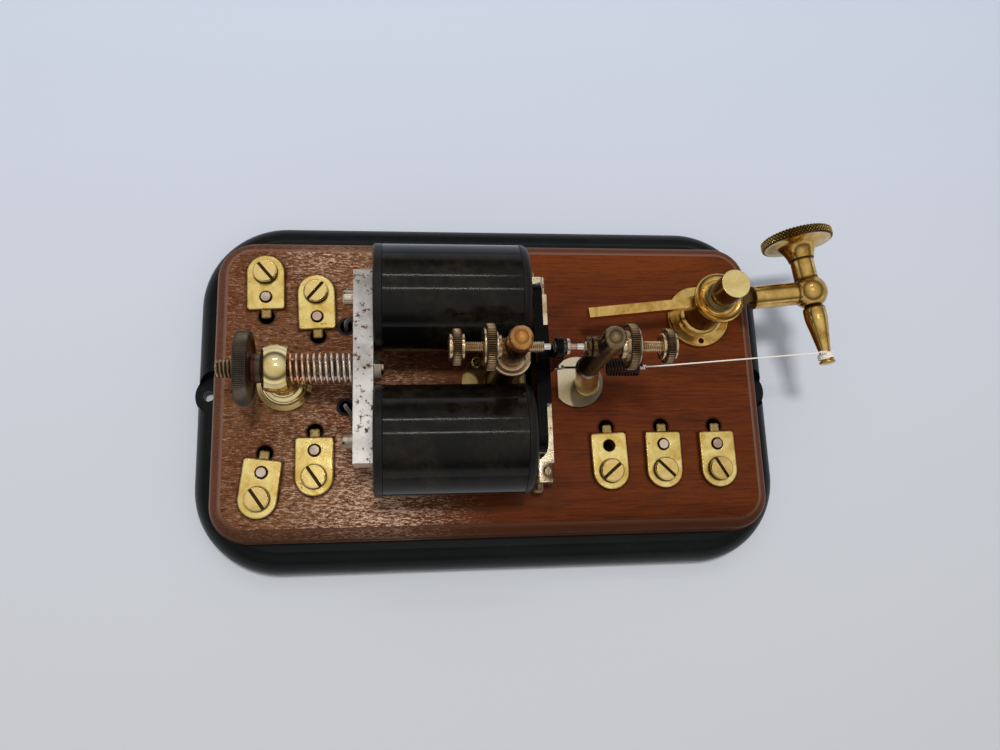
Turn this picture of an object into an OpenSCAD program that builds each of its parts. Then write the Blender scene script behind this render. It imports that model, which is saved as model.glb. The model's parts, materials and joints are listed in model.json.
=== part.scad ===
// Telegraph relay of a Morse receiving set: a sliding two-coil electromagnet on a moulded
// baseboard, a pivoted armature whose lever plays between two contact screws, and a silk
// thread and spindle that set the tension of its spring.
// Millimetres. X runs along the base, towards the tension spindle; Z is up.
// The origin is the centre of the base outline, on the face that the object stands on.

/* [Base] */
// Length of the base casting, without its ears
base_l = 226; // [224:1:236]
// Width of the base casting
base_w = 136.6; // [134:0.2:150]
// Height of the base casting
base_h = 15; // [14:0.5:20]
// Corner radius of the base casting
base_corner_r = 33; // [28:1:40]
// Width of the sloping edge of the base casting
base_edge_w = 8; // [7:0.5:9]
// Width of the board that rests on the casting, beside the window under it
base_rim_w = 12.9; // [12:0.1:16]
// Radius of the ears at the two ends
ear_r = 8.7; // [8:0.1:10]
// Reach of an ear past the end of the casting
ear_reach = 1.5; // [1:0.1:3]
// Thickness of an ear under its screw seat
ear_t = 6; // [4:0.5:8]
// Radius of the screw holes in the ears
ear_hole_r = 2.1; // [1.8:0.1:2.4]
// Distance from an ear's tip to the centre of its screw hole
ear_hole_inset = 5; // [4.5:0.1:5.5]
// Thickness of the cover plate under the base
cover_t = 2.5; // [1.5:0.1:3]
// Width of the ledge that holds the cover plate
cover_ledge_w = 4; // [3:0.5:6]

/* [Board] */
// Length of the baseboard
board_l = 210; // [208:1:220]
// Width of the baseboard
board_w = 114.4; // [112:0.2:120]
// Thickness of the baseboard
board_t = 9.5; // [9:0.5:12]
// Corner radius of the baseboard
board_corner_r = 14; // [10:0.5:18]
// Width of the moulding round the board's top
mould_w = 4.8; // [3:0.1:6]
// Height of the moulding round the board's top
mould_h = 5; // [3:0.1:6]

/* [Terminals] */
// Width of a terminal plate
terminal_w = 13.8; // [12:0.1:15]
// Thickness of a terminal plate
terminal_t = 2; // [1.2:0.1:3]
// Distance from the pin to the screw
terminal_pitch = 9.6; // [9:0.1:11]
// Distance from the pin to the square end
terminal_tail = 4.8; // [3.5:0.1:6]
// Radius of the corners at a plate's square end
terminal_corner_r = 1.2; // [0.6:0.1:2]
// Radius of the wire hole in the board behind a terminal
wire_hole_r = 2.9; // [2.4:0.1:3.2]
// Radius of a terminal pin
pin_r = 1.8; // [1.2:0.1:2.2]
// Radius of a terminal screw's head
terminal_head_r = 4.4; // [3.5:0.1:5]
// Height of a terminal screw's head
terminal_head_h = 2.6; // [2:0.1:3.5]
// Radius of a terminal screw's shank
terminal_shank_r = 1.6; // [1.2:0.1:2]

/* [Magnet] */
// Outer radius of a coil
coil_r = 19; // [16:0.1:19.5]
// Length of a coil over its cheeks
coil_l = 53.6; // [48:0.1:54]
// Distance between the two coil axes
coil_spacing = 50.4; // [48:0.1:54]
// Height of the coil axes above the board
coil_rise = 26.8; // [25:0.1:30]
// Radius of an iron core
core_r = 5; // [4:0.1:6]
// Reach of a core past the coil's right cheek
core_proud = 0.8; // [0.3:0.1:1.2]
// Thickness of a bobbin cheek
cheek_t = 3; // [2:0.1:4]
// Wall of the bobbin's tube
bobbin_wall = 1.2; // [0.8:0.1:2]
// Wall of a coil cover
cover_wall = 1; // [0.6:0.1:1.5]
// Place of the yoke's left face along X
yoke_x = -52.2; // [-54:0.1:-51]
// Thickness of the yoke
yoke_t = 6.8; // [5:0.1:8]
// Length of the yoke
yoke_l = 67.2; // [64:0.1:72]
// Height of the yoke
yoke_h = 12; // [10:0.5:14]
// Radius of a core screw's head
core_screw_r = 2.65; // [2.2:0.05:3]
// Height of a core screw's head
core_screw_h = 3.8; // [2:0.1:5]
// Width of a runner rail under a coil
rail_w = 8; // [6:0.5:10]
// Height of a runner rail
rail_h = 4; // [3:0.5:5]
// Length of a runner rail past the coil at each end, for the magnet's travel
rail_spare_l = 5.4; // [4:0.1:6]

/* [Magnet adjuster] */
// Radius of the adjusting rod
rod_r = 3.2; // [2.5:0.05:3.5]
// Place of the rod's free end along X
rod_end_x = -98; // [-104:0.5:-96]
// Place of the ball post along X
ball_post_x = -78.3; // [-80:0.1:-77]
// Radius of the ball
ball_r = 8.4; // [7.5:0.1:9]
// Width of the ball between its flat faces
ball_flat_w = 8.4; // [7:0.1:9]
// Radius of the adjusting wheel
wheel_r = 12.9; // [11:0.1:14]
// Thickness of the wheel's rim
wheel_t = 4.4; // [3:0.1:5]
// Length of the wheel's hub
wheel_hub_l = 3.7; // [2:0.1:5]
// Radius of the magnet spring's wire
magnet_wire_r = 0.5; // [0.35:0.05:0.6]
// Mean radius of the magnet spring
magnet_coil_r = 4.85; // [4.4:0.05:5.5]
// Turns of the magnet spring
magnet_turns = 10.5; // [8:0.5:12]

/* [Contact posts] */
// Place of the left contact post along X
left_post_x = 0.3; // [-0.5:0.1:1]
// Place of the right contact post along X
right_post_x = 29.8; // [29:0.1:31]
// Height of the contact screws above the board
contact_rise = 54.8; // [53:0.1:58]
// Height of the centre of a post's domed top above the contact screws
dome_rise = 10.5; // [9:0.1:12]
// Radius of the posts and of their domed tops
post_r = 4; // [3.6:0.1:4.2]
// Radius of the left post's foot
left_foot_r = 13.4; // [12:0.1:13.6]
// Radius of the right post's foot
right_foot_r = 9.8; // [9:0.1:10.5]
// Radius of a contact screw
contact_r = 1.8; // [1.5:0.05:2]
// Radius of a contact tip
tip_r = 1.0; // [0.8:0.05:1.2]
// Radius of a contact screw's knurled head
knob_r = 5.9; // [5:0.1:6.5]
// Radius of a lock nut
lock_nut_r = 7.6; // [7:0.1:7.9]

/* [Armature] */
// Place of the pivots along X
pivot_x = 13.4; // [13.3:0.05:13.5]
// Height of the pivots above the board
pivot_rise = 6.8; // [6.5:0.1:8]
// Radius of the armature's arbor
arbor_r = 2; // [1.6:0.1:2.2]
// Length of the armature bar
armature_l = 60.6; // [58:0.2:64]
// Height of the armature bar
armature_h = 12; // [10:0.5:13]
// Thickness of the armature bar
armature_t = 3.2; // [2.5:0.1:3.4]
// Radius of the round corners at the armature bar's ends
armature_end_r = 5; // [3:0.1:5.5]
// Air gap between the poles and the armature bar
air_gap = 1.2; // [1:0.1:1.6]
// Thickness of the lever across the board
lever_t = 4; // [3:0.1:5]
// Free play at the left contact
contact_play = 0.6; // [0.55:0.05:1]
// Reach of a frame lug along the armature
lug_l = 7.9; // [7:0.1:9]
// Radius of a lug's round upper edges
lug_edge_r = 2.6; // [2:0.1:3]
// Height of the armature frame
frame_h = 11.5; // [10.5:0.1:13]
// Thickness of the frame's back plate
frame_t = 2.2; // [1.8:0.1:2.4]

/* [Tension adjuster] */
// Place of the tension post along X
tension_x = 81.5; // [79:0.5:84]
// Place of the tension post along Y
tension_y = 26.5; // [25:0.5:28]
// Turn of the tension rod from the X axis, in degrees
tension_yaw = 5.85; // [4:0.05:7]
// Height of the tension rod above the board
tension_rise = 20.5; // [19:0.1:22]
// Side of the tension rod's square bar
bar_w = 3.7; // [3.2:0.1:4.2]
// Reach of the square bar left of the post
bar_reach = 49.2; // [44:0.1:52]
// Radius of the tension rod's round part
round_r = 4.35; // [3.6:0.05:4.6]
// Distance from the post to the start of the tension rod's round part
round_x = 14.5; // [12:0.5:18]
// Distance from the post to the tension rod's ball
ball_reach = 38.1; // [37:0.1:42]
// Radius of the tension rod's ball
rod_ball_r = 6.55; // [6:0.05:7]
// Turn of the spindle from square to the rod, in degrees
spindle_skew = 2; // [0:0.1:3]
// Radius of the spindle's knurled knob
spindle_knob_r = 13.5; // [11:0.1:14.5]
// Radius of the spindle's shaft in the ball
spindle_r = 2.5; // [2:0.1:3]
// Radius of the post's flange
tension_flange_r = 12.7; // [12.3:0.1:13.4]
// Radius of the post's dished head
tension_head_r = 9.4; // [8.6:0.1:10]
// Radius of the clamp screw's cap
cap_r = 5.2; // [4.6:0.1:5.6]
// Height of the clamp screw above the post's head
cap_h = 15; // [13:0.5:18]

/* [Tension spring and thread] */
// Height of the tension spring above the board
spring_rise = 26; // [24:0.1:27.5]
// Radius of the tension spring's wire
tension_wire_r = 0.32; // [0.25:0.01:0.36]
// Mean radius of the tension spring
tension_coil_r = 2.85; // [2.4:0.05:3.2]
// Turns of the tension spring
tension_turns = 11; // [8:0.5:12]
// Place of the spring's first turn along X
tension_spring_x = 36.6; // [36:0.1:38]
// Length of the tension spring's turns
tension_spring_l = 11.8; // [11.6:0.1:14]
// Radius of the silk thread
thread_r = 0.25; // [0.2:0.01:0.3]

/* [Hidden] */

// Clearances: round fixed pieces, round running pieces, beside sliding flats, at the end
// faces of turning pieces, and under the heads of screws that turn
fit = 0.05;
run = 0.06;
slide = 0.1;
seat_gap = 0.2;
face_gap = 0.05;
curve = 96;
small = 48;

board_z = base_h;
top_z = board_z + board_t;

// Places of the terminals: the pin's X and Y, and the heading of the plate's round end
TERMINALS = [
    [-86, 33.6, 92], [-67, 26, 93], [-85.9, -32.3, -97], [-67.3, -24.6, -90],
    [42.1, -24.6, -88], [63.3, -24.4, -90], [84.6, -24.5, -89]
];
// Terminal whose pin is missing, and the heading of each screw's slot
EMPTY_TERMINAL = 4;
SLOTS = [130, 50, 125, 125, 40, 135, 120];

// Black for the castings, and the browns, golds and greys of the other pieces
JAPAN = [0.06, 0.065, 0.06];
MAHOGANY = [0.34, 0.13, 0.06];
BRASS = [0.82, 0.66, 0.28];
BRONZE = [0.33, 0.26, 0.18];
STEEL = [0.62, 0.6, 0.58];
SILVER = [0.82, 0.81, 0.79];
EBONITE = [0.09, 0.08, 0.075];
COPPER = [0.62, 0.36, 0.22];

// A cylinder of radius r along X from x0 to x1
module rod_x(r, x0, x1, fn = small) {
    translate([x0, 0, 0]) rotate([0, 90, 0]) cylinder(r = r, h = x1 - x0, $fn = fn);
}

// A cylinder of radius r along Y from y0 to y1
module rod_y(r, y0, y1, fn = small) {
    translate([0, y0, 0]) rotate([-90, 0, 0]) cylinder(r = r, h = y1 - y0, $fn = fn);
}

// A solid turned about the X axis from points [x, radius]
module turned_x(points, fn = curve) {
    rotate([0, 90, 0]) rotate([0, 0, 180]) rotate_extrude($fn = fn)
        polygon([for (p = points) [p[1], p[0]]]);
}

// A solid turned about the Y axis from points [y, radius]
module turned_y(points, fn = curve) {
    rotate([-90, 0, 0]) rotate_extrude($fn = fn) polygon([for (p = points) [p[1], p[0]]]);
}

// A rectangle with round corners, of true arcs
module round_rect(l, w, r) {
    square([l - 2 * r, w], center = true);
    square([l, w - 2 * r], center = true);
    for (x = [-1, 1], y = [-1, 1])
        translate([x * (l / 2 - r), y * (w / 2 - r)]) circle(r = r, $fn = curve);
}

// A slab with round corners whose edge follows a profile of points [inset, height]
module moulded_slab(l, w, r, profile) {
    outline = concat([[0, 0]], [for (p = profile) [r - p[0], p[1]]],
                     [[0, profile[len(profile) - 1][1]]]);
    for (x = [-1, 1], y = [-1, 1])
        translate([x * (l / 2 - r), y * (w / 2 - r), 0])
            rotate([0, 0, x > 0 ? (y > 0 ? 0 : -90) : (y > 0 ? 90 : 180)])
                rotate_extrude(angle = 90, $fn = curve) polygon(outline);
    for (y = [-1, 1])
        translate([-y * (l / 2 - r), y * (w / 2 - r), 0]) rotate([0, 0, y * 90])
            rotate([90, 0, 0]) linear_extrude(l - 2 * r) polygon(outline);
    for (x = [-1, 1])
        translate([x * (l / 2 - r), x * (w / 2 - r), 0]) rotate([0, 0, x > 0 ? 0 : 180])
            rotate([90, 0, 0]) linear_extrude(w - 2 * r) polygon(outline);
    translate([r - l / 2, r - w / 2, 0]) cube([l - 2 * r, w - 2 * r, outline[len(outline) - 1][1]]);
}

// Points of a quarter round from [x0, z0] to [x1, z1] that leaves upwards
function quarter(x0, z0, x1, z1, n = 6) =
    [for (i = [0 : n]) [x1 + (x0 - x1) * cos(90 * i / n), z0 + (z1 - z0) * sin(90 * i / n)]];

function unit(v) = v / norm(v);

// Frames carried along a path of points: one normal per point
function tangents(path) = [for (i = [0 : len(path) - 1])
    unit(path[min(i + 1, len(path) - 1)] - path[max(i - 1, 0)])];
function carried(n, t) = unit(n - (n * t) * t);
function normals(ts, start) = [for (i = 0, n = carried(start, ts[0]); i < len(ts);
    i = i + 1, n = i < len(ts) ? carried(n, ts[i]) : n) n];

// A round tube of radius r swept along a path, closed at both ends
module swept_tube(path, r, sides, start) {
    ts = tangents(path);
    ns = normals(ts, start);
    rings = len(path);
    points = [for (i = [0 : rings - 1], k = [0 : sides - 1])
        path[i] + r * (cos(360 * k / sides) * ns[i] + sin(360 * k / sides) * cross(ts[i], ns[i]))];
    walls = [for (i = [0 : rings - 2], k = [0 : sides - 1])
        let (a = i * sides + k, b = i * sides + (k + 1) % sides) each
            [[a, b, b + sides], [a, b + sides, a + sides]]];
    first = [for (k = [1 : sides - 2]) [0, k + 1, k]];
    base = (rings - 1) * sides;
    last = [for (k = [1 : sides - 2]) [base, base + k, base + k + 1]];
    polyhedron(points = points, faces = [for (f = concat(walls, first, last)) [f[0], f[2], f[1]]]);
}

// Points of a helix about the X axis
function helix_x(x0, length, r, turns, per_turn, phase = 0) =
    [for (i = [0 : round(turns * per_turn)]) let (a = 360 * i / per_turn + phase)
        [x0 + length * i / round(turns * per_turn), r * cos(a), r * sin(a)]];

// A slotted cheese head and shank, head seat at z = 0, slot at the given heading
module slotted_screw(head_r, head_h, shank_r, shank_l, slot_w, slot_d, heading) {
    difference() {
        union() {
            rotate_extrude($fn = small) polygon([[0, -shank_l], [shank_r, -shank_l], [shank_r, 0],
                [head_r, 0], [head_r, head_h - 0.4], [head_r - 0.4, head_h], [0, head_h]]);
        }
        rotate([0, 0, heading]) translate([-head_r - 1, -slot_w / 2, head_h - slot_d])
            cube([2 * head_r + 2, slot_w, slot_d + 1]);
    }
}

// Base casting, its ears and its cover

// The hollow under the board clears the nuts of the outermost terminal pins
pin_nut_r = 3.6;
pin_nut_clear = 2.5;
window_l = 2 * (max([for (t = TERMINALS) abs(t[0])]) + pin_nut_r + pin_nut_clear);
window_w = board_w - 2 * base_rim_w;
window_r = 12;
ledge_l = window_l + 2 * cover_ledge_w;
ledge_w = window_w + 2 * cover_ledge_w;
ear_x = base_l / 2 + ear_reach - ear_r;
ear_hole_x = base_l / 2 + ear_reach - ear_hole_inset;
board_screw_r = 1.6;
board_screw_head_r = 3;
board_screw_head_h = 2;
board_screw_bite = 6;
board_screw_span = window_l / 3;
board_screw_edge = 1.4;
BOARD_SCREWS = [for (x = [-1, 1], y = [-1, 1])
    [x * board_screw_span, y * (window_w / 2 + cover_ledge_w + board_screw_edge + board_screw_head_r)]];
COVER_SCREWS = [for (x = [-1, 1], y = [-1, 1])
    [x * (window_l / 2 - window_r), y * (window_w / 2 + cover_ledge_w / 2)]];
cover_screw_r = 1;
cover_screw_bite = 5;

module base_casting() {
    profile = concat([[0.8, 0], [0, 0.8], [0, base_h - 10.5]],
                     quarter(0, base_h - 10, base_edge_w - 1.2, base_h - 0.8),
                     [[base_edge_w, base_h]]);
    color(JAPAN) difference() {
        union() {
            moulded_slab(base_l, base_w, base_corner_r, profile);
            for (x = [-1, 1]) translate([x * ear_x, 0, 0]) cylinder(r = ear_r, h = ear_t, $fn = curve);
        }
        translate([0, 0, -1]) linear_extrude(base_h + 2) round_rect(window_l, window_w, window_r);
        translate([0, 0, -1]) linear_extrude(cover_t + 1)
            round_rect(ledge_l, ledge_w, window_r + cover_ledge_w);
        for (x = [-1, 1]) {
            translate([x * ear_hole_x, 0, -1]) cylinder(r = ear_hole_r, h = base_h, $fn = small);
            intersection() {
                translate([x * ear_x, 0, ear_t])
                    cylinder(r = ear_r - 0.6, h = base_h, $fn = curve);
                translate([x * (board_l / 2 + 0.4) - (x < 0 ? 20 : 0), -20, 0]) cube([20, 40, 40]);
            }
        }
        for (p = BOARD_SCREWS) translate([p[0], p[1], -1]) {
            cylinder(r = board_screw_r + fit, h = base_h + 2, $fn = small);
            cylinder(r = board_screw_head_r + fit, h = 1 + board_screw_head_h, $fn = small);
        }
        for (p = COVER_SCREWS) translate([p[0], p[1], 0])
            cylinder(r = cover_screw_r + fit, h = cover_t + cover_screw_bite, $fn = small);
    }
}

module base_cover() {
    color([0.2, 0.13, 0.09]) difference() {
        linear_extrude(cover_t)
            round_rect(ledge_l - 2 * slide, ledge_w - 2 * slide, window_r + cover_ledge_w - slide);
        for (p = COVER_SCREWS) translate([p[0], p[1], -1]) {
            cylinder(r = cover_screw_r + fit, h = cover_t + 2, $fn = small);
            cylinder(r = cover_screw_r + 1 + fit, h = 2, $fn = small);
        }
    }
}

module cover_screws() {
    color(BRASS) for (p = COVER_SCREWS) translate([p[0], p[1], 1]) rotate([180, 0, 0])
        slotted_screw(cover_screw_r + 1, 0.8, cover_screw_r, cover_t + cover_screw_bite - 1.5,
                      0.5, 0.4, 30);
}

module board_screws() {
    color(BRASS) for (p = BOARD_SCREWS) translate([p[0], p[1], board_screw_head_h])
        rotate([180, 0, 0]) slotted_screw(board_screw_head_r, board_screw_head_h - 0.4,
            board_screw_r, base_h - board_screw_head_h + board_screw_bite - 0.5, 0.9, 0.8, 20);
}

// Baseboard and its holes

stud_r = 2.6;
bush_r = 3.4;
bush_bore_r = 2.3;
LEAD_HOLES = [[-56.3, 22.4], [-56.3, -8.4]];
rail_x0 = yoke_x + yoke_t - rail_spare_l;
rail_l = coil_l + 2 * rail_spare_l;
rail_screw_inset = 8;
RAIL_SCREWS = [for (x = [rail_x0 + rail_screw_inset, rail_x0 + rail_l - rail_screw_inset], y = [-1, 1])
    [x, y * coil_spacing / 2]];
rail_screw_r = 1.4;
frame_x1 = pivot_x + 3.3;
frame_gap = 0.7;
lug_x0 = pivot_x - 2.2;
lug_y0 = armature_l / 2 + frame_gap;
lug_y1 = lug_y0 + lug_l;
FRAME_SCREWS = [for (y = [-1, 1]) [(lug_x0 + frame_x1 + frame_t) / 2, y * (lug_y0 + lug_y1) / 2]];
frame_screw_r = 1.4;
tension_screw_r = 1.1;
tension_screw_head_r = 1.3;
tension_screw_ring = tension_flange_r - 1 - tension_screw_head_r;
right_foot_shift = 1.4;
right_leg_r = 4.2;
foot_screw_r = 1.1;
foot_screw_head_r = 2.1;
foot_screw_ring = left_foot_r - 0.5 - foot_screw_head_r;
FOOT_SCREWS = [for (a = [135, 225]) [left_post_x + foot_screw_ring * cos(a), foot_screw_ring * sin(a)]];

// Place of point p of a terminal's own frame: X across the plate, Y towards its round end
function on_terminal(t, p) = let (a = t[2] - 90)
    [t[0] + p[0] * cos(a) - p[1] * sin(a), t[1] + p[0] * sin(a) + p[1] * cos(a)];
module at_terminal(i) {
    translate([TERMINALS[i][0], TERMINALS[i][1], top_z]) rotate([0, 0, TERMINALS[i][2] - 90])
        children();
}

module drill(x, y, r, z0 = -1) {
    translate([x, y, board_z + z0]) cylinder(r = r, h = board_t + 2 - z0, $fn = small);
}

module baseboard() {
    lip = board_t - mould_h;
    profile = concat([[0.6, 0], [0, 0.6], [0, lip], [0.5, lip + 0.2]],
                     quarter(0.5, lip + 0.3, mould_w, board_t - 0.6), [[mould_w, board_t]]);
    color(MAHOGANY) difference() {
        translate([0, 0, board_z]) moulded_slab(board_l, board_w, board_corner_r, profile);
        for (i = [0 : len(TERMINALS) - 1]) {
            t = TERMINALS[i];
            drill(t[0], t[1], pin_r + fit);
            s = on_terminal(t, [0, terminal_pitch]);
            drill(s[0], s[1], terminal_shank_r + run, 2);
            h = on_terminal(t, [0, -terminal_tail - 2.4]);
            drill(h[0], h[1], wire_hole_r);
        }
        for (p = LEAD_HOLES) drill(p[0], p[1], bush_r + fit);
        for (x = [ball_post_x, left_post_x, right_post_x]) drill(x, 0, stud_r + fit);
        drill(tension_x, tension_y, stud_r + fit);
        for (p = RAIL_SCREWS) drill(p[0], p[1], rail_screw_r + fit, 3);
        for (p = FRAME_SCREWS) drill(p[0], p[1], frame_screw_r + fit);
        for (p = FOOT_SCREWS) drill(p[0], p[1], foot_screw_r + fit, 3);
        for (a = [30, 150]) drill(tension_x + tension_screw_ring * cos(a),
                                  tension_y + tension_screw_ring * sin(a), tension_screw_r + fit, 3);
        for (p = BOARD_SCREWS) translate([p[0], p[1], board_z - 1])
            cylinder(r = board_screw_r + fit, h = board_screw_bite + 1, $fn = small);
    }
}

// Terminals

module terminal_plates() {
    color(BRASS) for (i = [0 : len(TERMINALS) - 1]) at_terminal(i) difference() {
        union() {
            linear_extrude(terminal_t) {
                translate([0, (terminal_pitch - terminal_tail) / 2])
                    round_rect(terminal_w, terminal_tail + terminal_pitch, terminal_corner_r);
                translate([-terminal_w / 2, terminal_pitch - terminal_corner_r])
                    square([terminal_w, terminal_corner_r]);
                translate([0, terminal_pitch]) circle(r = terminal_w / 2, $fn = curve);
            }
            translate([-1.7, -terminal_tail - 3.2, 0]) cube([3.4, 4, 0.9]);
        }
        translate([0, 0, -1]) cylinder(r = pin_r + 0.3, h = terminal_t + 2, $fn = small);
        translate([0, terminal_pitch, -1])
            cylinder(r = terminal_shank_r + run, h = terminal_t + 2, $fn = small);
    }
}

module terminal_pins() {
    nut_h = 2;
    color([0.72, 0.6, 0.52]) for (i = [0 : len(TERMINALS) - 1]) if (i != EMPTY_TERMINAL)
        at_terminal(i) union() {
            translate([0, 0, -board_t - nut_h - 2])
                cylinder(r = pin_r, h = board_t + nut_h + 2 + terminal_t + 0.6, $fn = small);
            translate([0, 0, -board_t - nut_h]) cylinder(r = pin_nut_r, h = nut_h, $fn = 6);
        }
}

module terminal_screw(i) {
    color(BRASS) at_terminal(i) translate([0, terminal_pitch, terminal_t + face_gap])
        slotted_screw(terminal_head_r, terminal_head_h, terminal_shank_r,
                      terminal_t + board_t - 2.5, 1.1, 1.2, SLOTS[i] - TERMINALS[i][2] + 90);
}

// Ball post, adjusting rod, wheel and spring of the magnet

axis_z = top_z + coil_rise;
ball_x0 = ball_post_x - ball_flat_w / 2;
ball_x1 = ball_post_x + ball_flat_w / 2;
stud_end = 2.2;

module stud() {
    translate([0, 0, board_z - stud_end - 2.6])
        cylinder(r = stud_r, h = board_t + stud_end + 2.6 + 1, $fn = small);
}

module ball_post() {
    color(BRASS) difference() {
        union() {
            translate([ball_post_x, 0, 0]) {
                stud();
                rotate_extrude($fn = curve) polygon(concat(
                    [[0, top_z], [10, top_z], [10, top_z + 2.2], [8.4, top_z + 3.2],
                     [8.2, top_z + 4], [7.6, top_z + 4.8], [5.6, top_z + 5.6],
                     [4.4, top_z + 7.5], [4.4, axis_z - 5]], [[0, axis_z - 5]]));
            }
            intersection() {
                translate([ball_post_x, 0, axis_z]) sphere(r = ball_r, $fn = curve);
                translate([ball_x0, -ball_r - 1, axis_z - ball_r - 1])
                    cube([ball_x1 - ball_x0, 2 * ball_r + 2, 2 * ball_r + 2]);
            }
        }
        translate([0, 0, axis_z]) rod_x(rod_r + run, ball_x0 - 2, ball_x1 + 2);
    }
}

rod_shank_r = 2.3;
module adjusting_rod() {
    color(BRONZE) translate([0, 0, axis_z]) turned_x([[rod_end_x, 0], [rod_end_x, rod_r - 0.8],
        [rod_end_x + 0.8, rod_r], [yoke_x, rod_r], [yoke_x, rod_shank_r],
        [yoke_x + yoke_t + 3.4, rod_shank_r], [yoke_x + yoke_t + 3.4, 0]]);
}

wheel_x1 = ball_x0 - seat_gap;
module adjusting_wheel() {
    rim_x1 = wheel_x1 - wheel_hub_l;
    rim_x0 = rim_x1 - wheel_t;
    color(BRONZE) translate([0, 0, axis_z]) difference() {
        turned_x([[rim_x0, 0], [rim_x0, wheel_r - 0.9], [rim_x0 + 0.9, wheel_r],
                  [rim_x1 - 0.9, wheel_r], [rim_x1, wheel_r - 0.9], [rim_x1, 5],
                  [wheel_x1, 4.6], [wheel_x1, 0]]);
        rod_x(rod_r + run, rim_x0 - 1, wheel_x1 + 1);
    }
}

module magnet_spring() {
    x0 = ball_x1 + magnet_wire_r + 0.15;
    x1 = yoke_x - magnet_wire_r - 0.15;
    path = [for (p = helix_x(x0, x1 - x0, magnet_coil_r, magnet_turns, 8)) p + [0, 0, axis_z]];
    echo(magnet_spring_gap = (x1 - x0) / magnet_turns - 2 * magnet_wire_r);
    color(COPPER) swept_tube(path, magnet_wire_r, 6, [1, 0, 0]);
}

// Electromagnet

coil_x0 = yoke_x + yoke_t;
coil_x1 = coil_x0 + coil_l;
pole_x = coil_x1 + core_proud;

module for_coil(side) {
    translate([0, side * coil_spacing / 2, axis_z]) children();
}

module yoke() {
    color(STEEL) difference() {
        translate([yoke_x, -yoke_l / 2, axis_z - yoke_h / 2]) cube([yoke_t, yoke_l, yoke_h]);
        for (side = [-1, 1]) for_coil(side) rod_x(1.8 + fit, yoke_x - 1, yoke_x + yoke_t + 1);
        translate([0, 0, axis_z]) rod_x(rod_shank_r + fit, yoke_x - 1, yoke_x + yoke_t + 1);
    }
}

module cores() {
    bite = 8;
    color(STEEL) for (side = [-1, 1]) for_coil(side) difference() {
        rod_x(core_r, coil_x0, pole_x);
        rod_x(1.8 + fit, coil_x0 - 1, coil_x0 + bite);
    }
}

module yoke_fasteners() {
    color(STEEL) {
        for (side = [-1, 1]) for_coil(side) translate([yoke_x, 0, 0]) rotate([0, -90, 0])
            slotted_screw(core_screw_r, core_screw_h, 1.8, yoke_t + 7, 0.7, 1, side * 25);
        translate([coil_x0, 0, axis_z]) difference() {
            rotate([0, 90, 0]) cylinder(r = 4.8, h = 2.6, $fn = 6);
            rod_x(rod_shank_r + fit, -1, 4);
        }
    }
}

module bobbin(side) {
    tube_r = core_r + bobbin_wall;
    color(EBONITE) for_coil(side) difference() {
        turned_x(concat([[coil_x0, 0], [coil_x0, coil_r - 0.6], [coil_x0 + 0.6, coil_r],
            [coil_x0 + cheek_t, coil_r], [coil_x0 + cheek_t, tube_r],
            [coil_x1 - cheek_t, tube_r], [coil_x1 - cheek_t, coil_r]],
            [for (p = quarter(0, 0, 1.8, cheek_t - 0.4)) [coil_x1 - cheek_t + 0.4 + p[1], coil_r - p[0]]],
            [[coil_x1, 0]]));
        rod_x(core_r + fit, coil_x0 - 1, coil_x1 + 1);
    }
}

module winding(side) {
    color(COPPER) for_coil(side) difference() {
        rod_x(coil_r - cover_wall - 0.2, coil_x0 + cheek_t + fit, coil_x1 - cheek_t - fit, curve);
        rod_x(core_r + bobbin_wall + fit, coil_x0, coil_x1);
    }
}

module coil_cover(side) {
    color(EBONITE) for_coil(side) difference() {
        rod_x(coil_r - 0.1, coil_x0 + cheek_t + fit, coil_x1 - cheek_t - fit, curve);
        rod_x(coil_r - cover_wall - 0.1, coil_x0, coil_x1, curve);
    }
}

module runner_rails() {
    color(BRASS) difference() {
        for (side = [-1, 1])
            translate([rail_x0, side * coil_spacing / 2 - rail_w / 2, top_z])
                cube([rail_l, rail_w, rail_h]);
        for (p = RAIL_SCREWS) translate([p[0], p[1], top_z - 1]) {
            cylinder(r = rail_screw_r + fit, h = rail_h + 2, $fn = small);
            translate([0, 0, rail_h + 1 - 1.6]) cylinder(r = 2.6 + fit, h = 3, $fn = small);
        }
    }
}

module rail_screws() {
    color(BRASS) for (p = RAIL_SCREWS) translate([p[0], p[1], top_z + rail_h - 1.6])
        slotted_screw(2.6, 1.3, rail_screw_r, 7.5, 0.6, 0.6, 15);
}

module magnet_saddles() {
    lip = 2;
    color(BRASS) for (side = [-1, 1], x = [coil_x0, coil_x1 - cheek_t])
        translate([x, side * coil_spacing / 2, 0]) difference() {
            translate([0, -rail_w / 2 - slide - lip, top_z + 0.6])
                cube([cheek_t, rail_w + 2 * slide + 2 * lip, coil_rise - coil_r + 3]);
            translate([-1, -rail_w / 2 - slide, top_z - 1])
                cube([cheek_t + 2, rail_w + 2 * slide, rail_h + 1 + slide]);
            translate([0, 0, axis_z]) rod_x(coil_r + fit, -1, cheek_t + 1, curve);
        }
}

module coil_leads() {
    lead_r = 0.7;
    for (k = [0, 1]) {
        hole = LEAD_HOLES[k];
        y0 = k == 0 ? 23 : -19;
        z0 = axis_z - 13;
        ends = [[coil_x0 - 0.1, y0, z0], [hole[0], hole[1], board_z - 1]];
        path = [ends[0], [coil_x0 - 3, y0, z0],
            [coil_x0 - 7, 0.7 * y0 + 0.3 * hole[1], z0 - 1.5],
            [hole[0] + 1.6, 0.3 * y0 + 0.7 * hole[1], z0 - 4.5],
            [hole[0] + 0.2, 0.08 * y0 + 0.92 * hole[1], z0 - 8], [hole[0], hole[1], top_z + 2.5],
            [hole[0], hole[1], top_z], ends[1]];
        color([0.12, 0.1, 0.09]) swept_tube(path, lead_r, 8, [0, 1, 0]);
    }
}

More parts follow.
